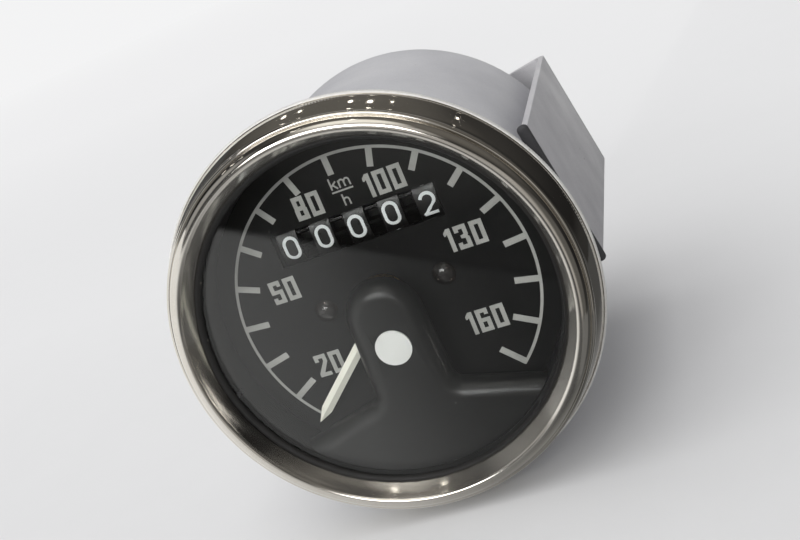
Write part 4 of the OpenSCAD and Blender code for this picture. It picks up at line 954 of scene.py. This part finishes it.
def glowMaterial(name):
    m, t, p = newMaterial(name)
    t.nodes.remove(p)
    glow = addNode(t, "Emission")
    t.links.new(glow.outputs[0], t.nodes["Material Output"].inputs["Surface"])
    return m, t, glow.inputs["Color"]


# The three patches are ranges along y and along x, the brighter two with their tones. The card's glow is painted
# light and shade of the table: the ramp across it and the patches set where it is lit or shaded
table = {"up": (0.41, -0.0855, 0.908), "level": -0.0432,
         "corners": [(-1.4, -0.452), (0.2, -0.14), (-1.4, 1.7), (0.4, 1.8)],
         "edgeSlope": 0.1947, "edge": (-0.179, -0.17), "across": (0.35, 0.95), "range": (-0.06, 0.06),
         "tones": [(0.0, 0.07), (0.13, 0.08), (0.33, 0.19), (0.42, 0.28), (0.5, 0.42), (0.575, 0.56), (0.7, 0.68),
                   (0.85, 0.84), (1.0, 0.97)],
         "nearBy": ((-0.07, -0.01, 0.03, 0.25), (0.02, 0.08, 1.0, 0.3)),
         "frontRight": ((0.03, -0.02, 0, 0.18), (0.03, 0.07)), "farLeft": ((0.085, 0.125), (-0.03, -0.07)),
         "farLeftTone": 0.08, "cloud": 3, "whites": ((0.95, 0.95, 0.935, 1), (1.0, 1.0, 0.985, 1))}
tableUp = Vector(table["up"]).normalized()
deselectAll()
bpy.ops.mesh.primitive_plane_add(size=1)
tableCard = bpy.context.object
for v, (x, y) in zip(tableCard.data.vertices, table["corners"]):
    v.co = Vector((x, y, (table["level"] - tableUp.x * x - tableUp.y * y) / tableUp.z))
tableLook, tt, tableColour = glowMaterial("litTable")
tableAt, tableX, tableY, _ = objectPlace(tt)


def tablePatch(name):
    alongY, alongX = table[name]
    return times(tt, remap(tt, tableY, *alongY), remap(tt, tableX, *alongX))


fromEdge = maths(tt, "SUBTRACT", tableY, times(tt, tableX, table["edgeSlope"]))
across = maths(tt, "SUBTRACT", times(tt, tableY, table["across"][0]), times(tt, tableX, table["across"][1]))
lit = toneRamp(tt, remap(tt, across, *table["range"]), greys(table["tones"]))
for name in ("nearBy", "frontRight"):
    lit = maths(tt, "MAXIMUM", lit, tablePatch(name))
lit = times(tt, lit, remap(tt, tablePatch("farLeft"), 0, 1, 1, table["farLeftTone"]))
lit = times(tt, lit, remap(tt, fromEdge, *table["edge"]))
white = mixColour(tt, noise(tt, tableAt, table["cloud"], detail=2), *table["whites"])
tt.links.new(mixColour(tt, lit, (0, 0, 0, 1), white), tableColour)
tableCard.data.materials.append(tableLook)
reflectOnly(tableCard, "tableCard")
floor.visible_glossy = floor.visible_transmission = False

# Glows are direction, width, core and colour; lamps are direction and width; both are painted into the dome's glow as
# painted reflections
room = {"radius": 2.5,
        "stops": [(0.0, (0.05, 0.0485, 0.046)), (0.48, (0.032, 0.031, 0.0295)), (0.52, (0.016, 0.0155, 0.015)),
                  (0.6, (0.02, 0.0195, 0.019)), (0.78, (0.045, 0.0435, 0.041)), (0.9, (0.12, 0.114, 0.104)),
                  (1.0, (0.16, 0.152, 0.138))],
        "glows": [((-0.15, 0.7, 0.64), 36, 14, (0.13, 0.124, 0.113)),
                  ((0.38, -0.9, -0.2), 26, 17, (0.43, 0.415, 0.39)),
                  ((-0.1, -0.985, 0.1), 22, 12, (0.42, 0.41, 0.39)),
                  ((0.03, -0.75, 0.66), 25, 14, (0.62, 0.605, 0.575)),
                  ((0.05, -0.42, 0.9), 23, 12, (1.15, 1.12, 1.05)),
                  ((-0.8, -0.4, 0.45), 26, 13, (0.36, 0.355, 0.345)),
                  ((0.74, -0.59, -0.3), 34, 18, (0.12, 0.117, 0.11)),
                  ((0.0, 0.97, 0.1), 28, 20, (0.6, 0.595, 0.58))],
        "lamps": [((-0.34, 0.77, 0.54), 0.45), ((-0.27, 0.76, 0.59), 0.35), ((-0.03, 0.742, 0.67), 0.5),
                  ((0.07, 0.73, 0.68), 0.6), ((0.173, 0.733, 0.658), 0.3), ((0.463, 0.726, 0.509), 0.35),
                  ((0.11, -0.03, 0.99), 0.7), ((-0.25, 0.03, 0.97), 0.6), ((-0.66, 0.13, 0.74), 0.9),
                  ((-0.71, 0.15, 0.69), 0.8), ((-0.61, 0.11, 0.785), 0.7),
                  ((-0.284, -0.175, 0.941), 0.75), ((0.087, -0.117, 0.988), 0.75)],
        "lampEdge": (1.3, 0.8), "lampTone": (11, 10.6, 9.8)}
deselectAll()
bpy.ops.mesh.primitive_ico_sphere_add(subdivisions=4, radius=room["radius"])
dome = bpy.context.object
domeLook, dt, domeColour = glowMaterial("darkRoom")
toward = addNode(dt, "VectorMath", operation="NORMALIZE")
dt.links.new(addNode(dt, "TexCoord").outputs["Object"], toward.inputs[0])


def aim(direction):
    n = addNode(dt, "VectorMath", {1: Vector(direction).normalized()}, operation="DOT_PRODUCT")
    dt.links.new(toward.outputs[0], n.inputs[0])
    return n.outputs["Value"]


def spot(tone, direction, wide, core, colour):
    return mixColour(dt, remap(dt, aim(direction), cosine(wide), cosine(core)), tone, (*colour, 1))


tone = toneRamp(dt, remap(dt, aim(tableUp), -1, 1), room["stops"])
for glow in room["glows"]:
    tone = spot(tone, *glow)
for direction, wide in room["lamps"]:
    tone = spot(tone, direction, *(wide * edge for edge in room["lampEdge"]), room["lampTone"])
dt.links.new(tone, domeColour)
dome.data.materials.append(domeLook)
reflectOnly(dome, "roomCard")

# Camera matched to the photo, its focal length and shift in pixels
view = {"place": (0.071287, -0.215666, 0.074689), "right": (0.90043, 0.19778, -0.38744),
        "up": (0.29843, 0.36714, 0.88099), "ahead": (-0.31649, 0.90890, -0.27156), "focal": 1229.6,
        "shift": (57.3, -4.34), "wide": 800, "sensor": 36, "clip": (0.01, 30)}
cam = bpy.data.cameras.new("camera")
camera = bpy.data.objects.new("camera", cam)
scene.collection.objects.link(camera)
right, up, ahead = (Vector(view[key]).normalized() for key in ("right", "up", "ahead"))
camera.matrix_world = Matrix.Translation(view["place"]) @ Matrix((right, up, -ahead)).transposed().to_4x4()
cam.sensor_width, cam.lens = view["sensor"], view["focal"] * view["sensor"] / view["wide"]
cam.shift_x, cam.shift_y = (part / view["wide"] for part in view["shift"])
cam.clip_start, cam.clip_end = view["clip"]
scene.camera = camera

print("scene made")
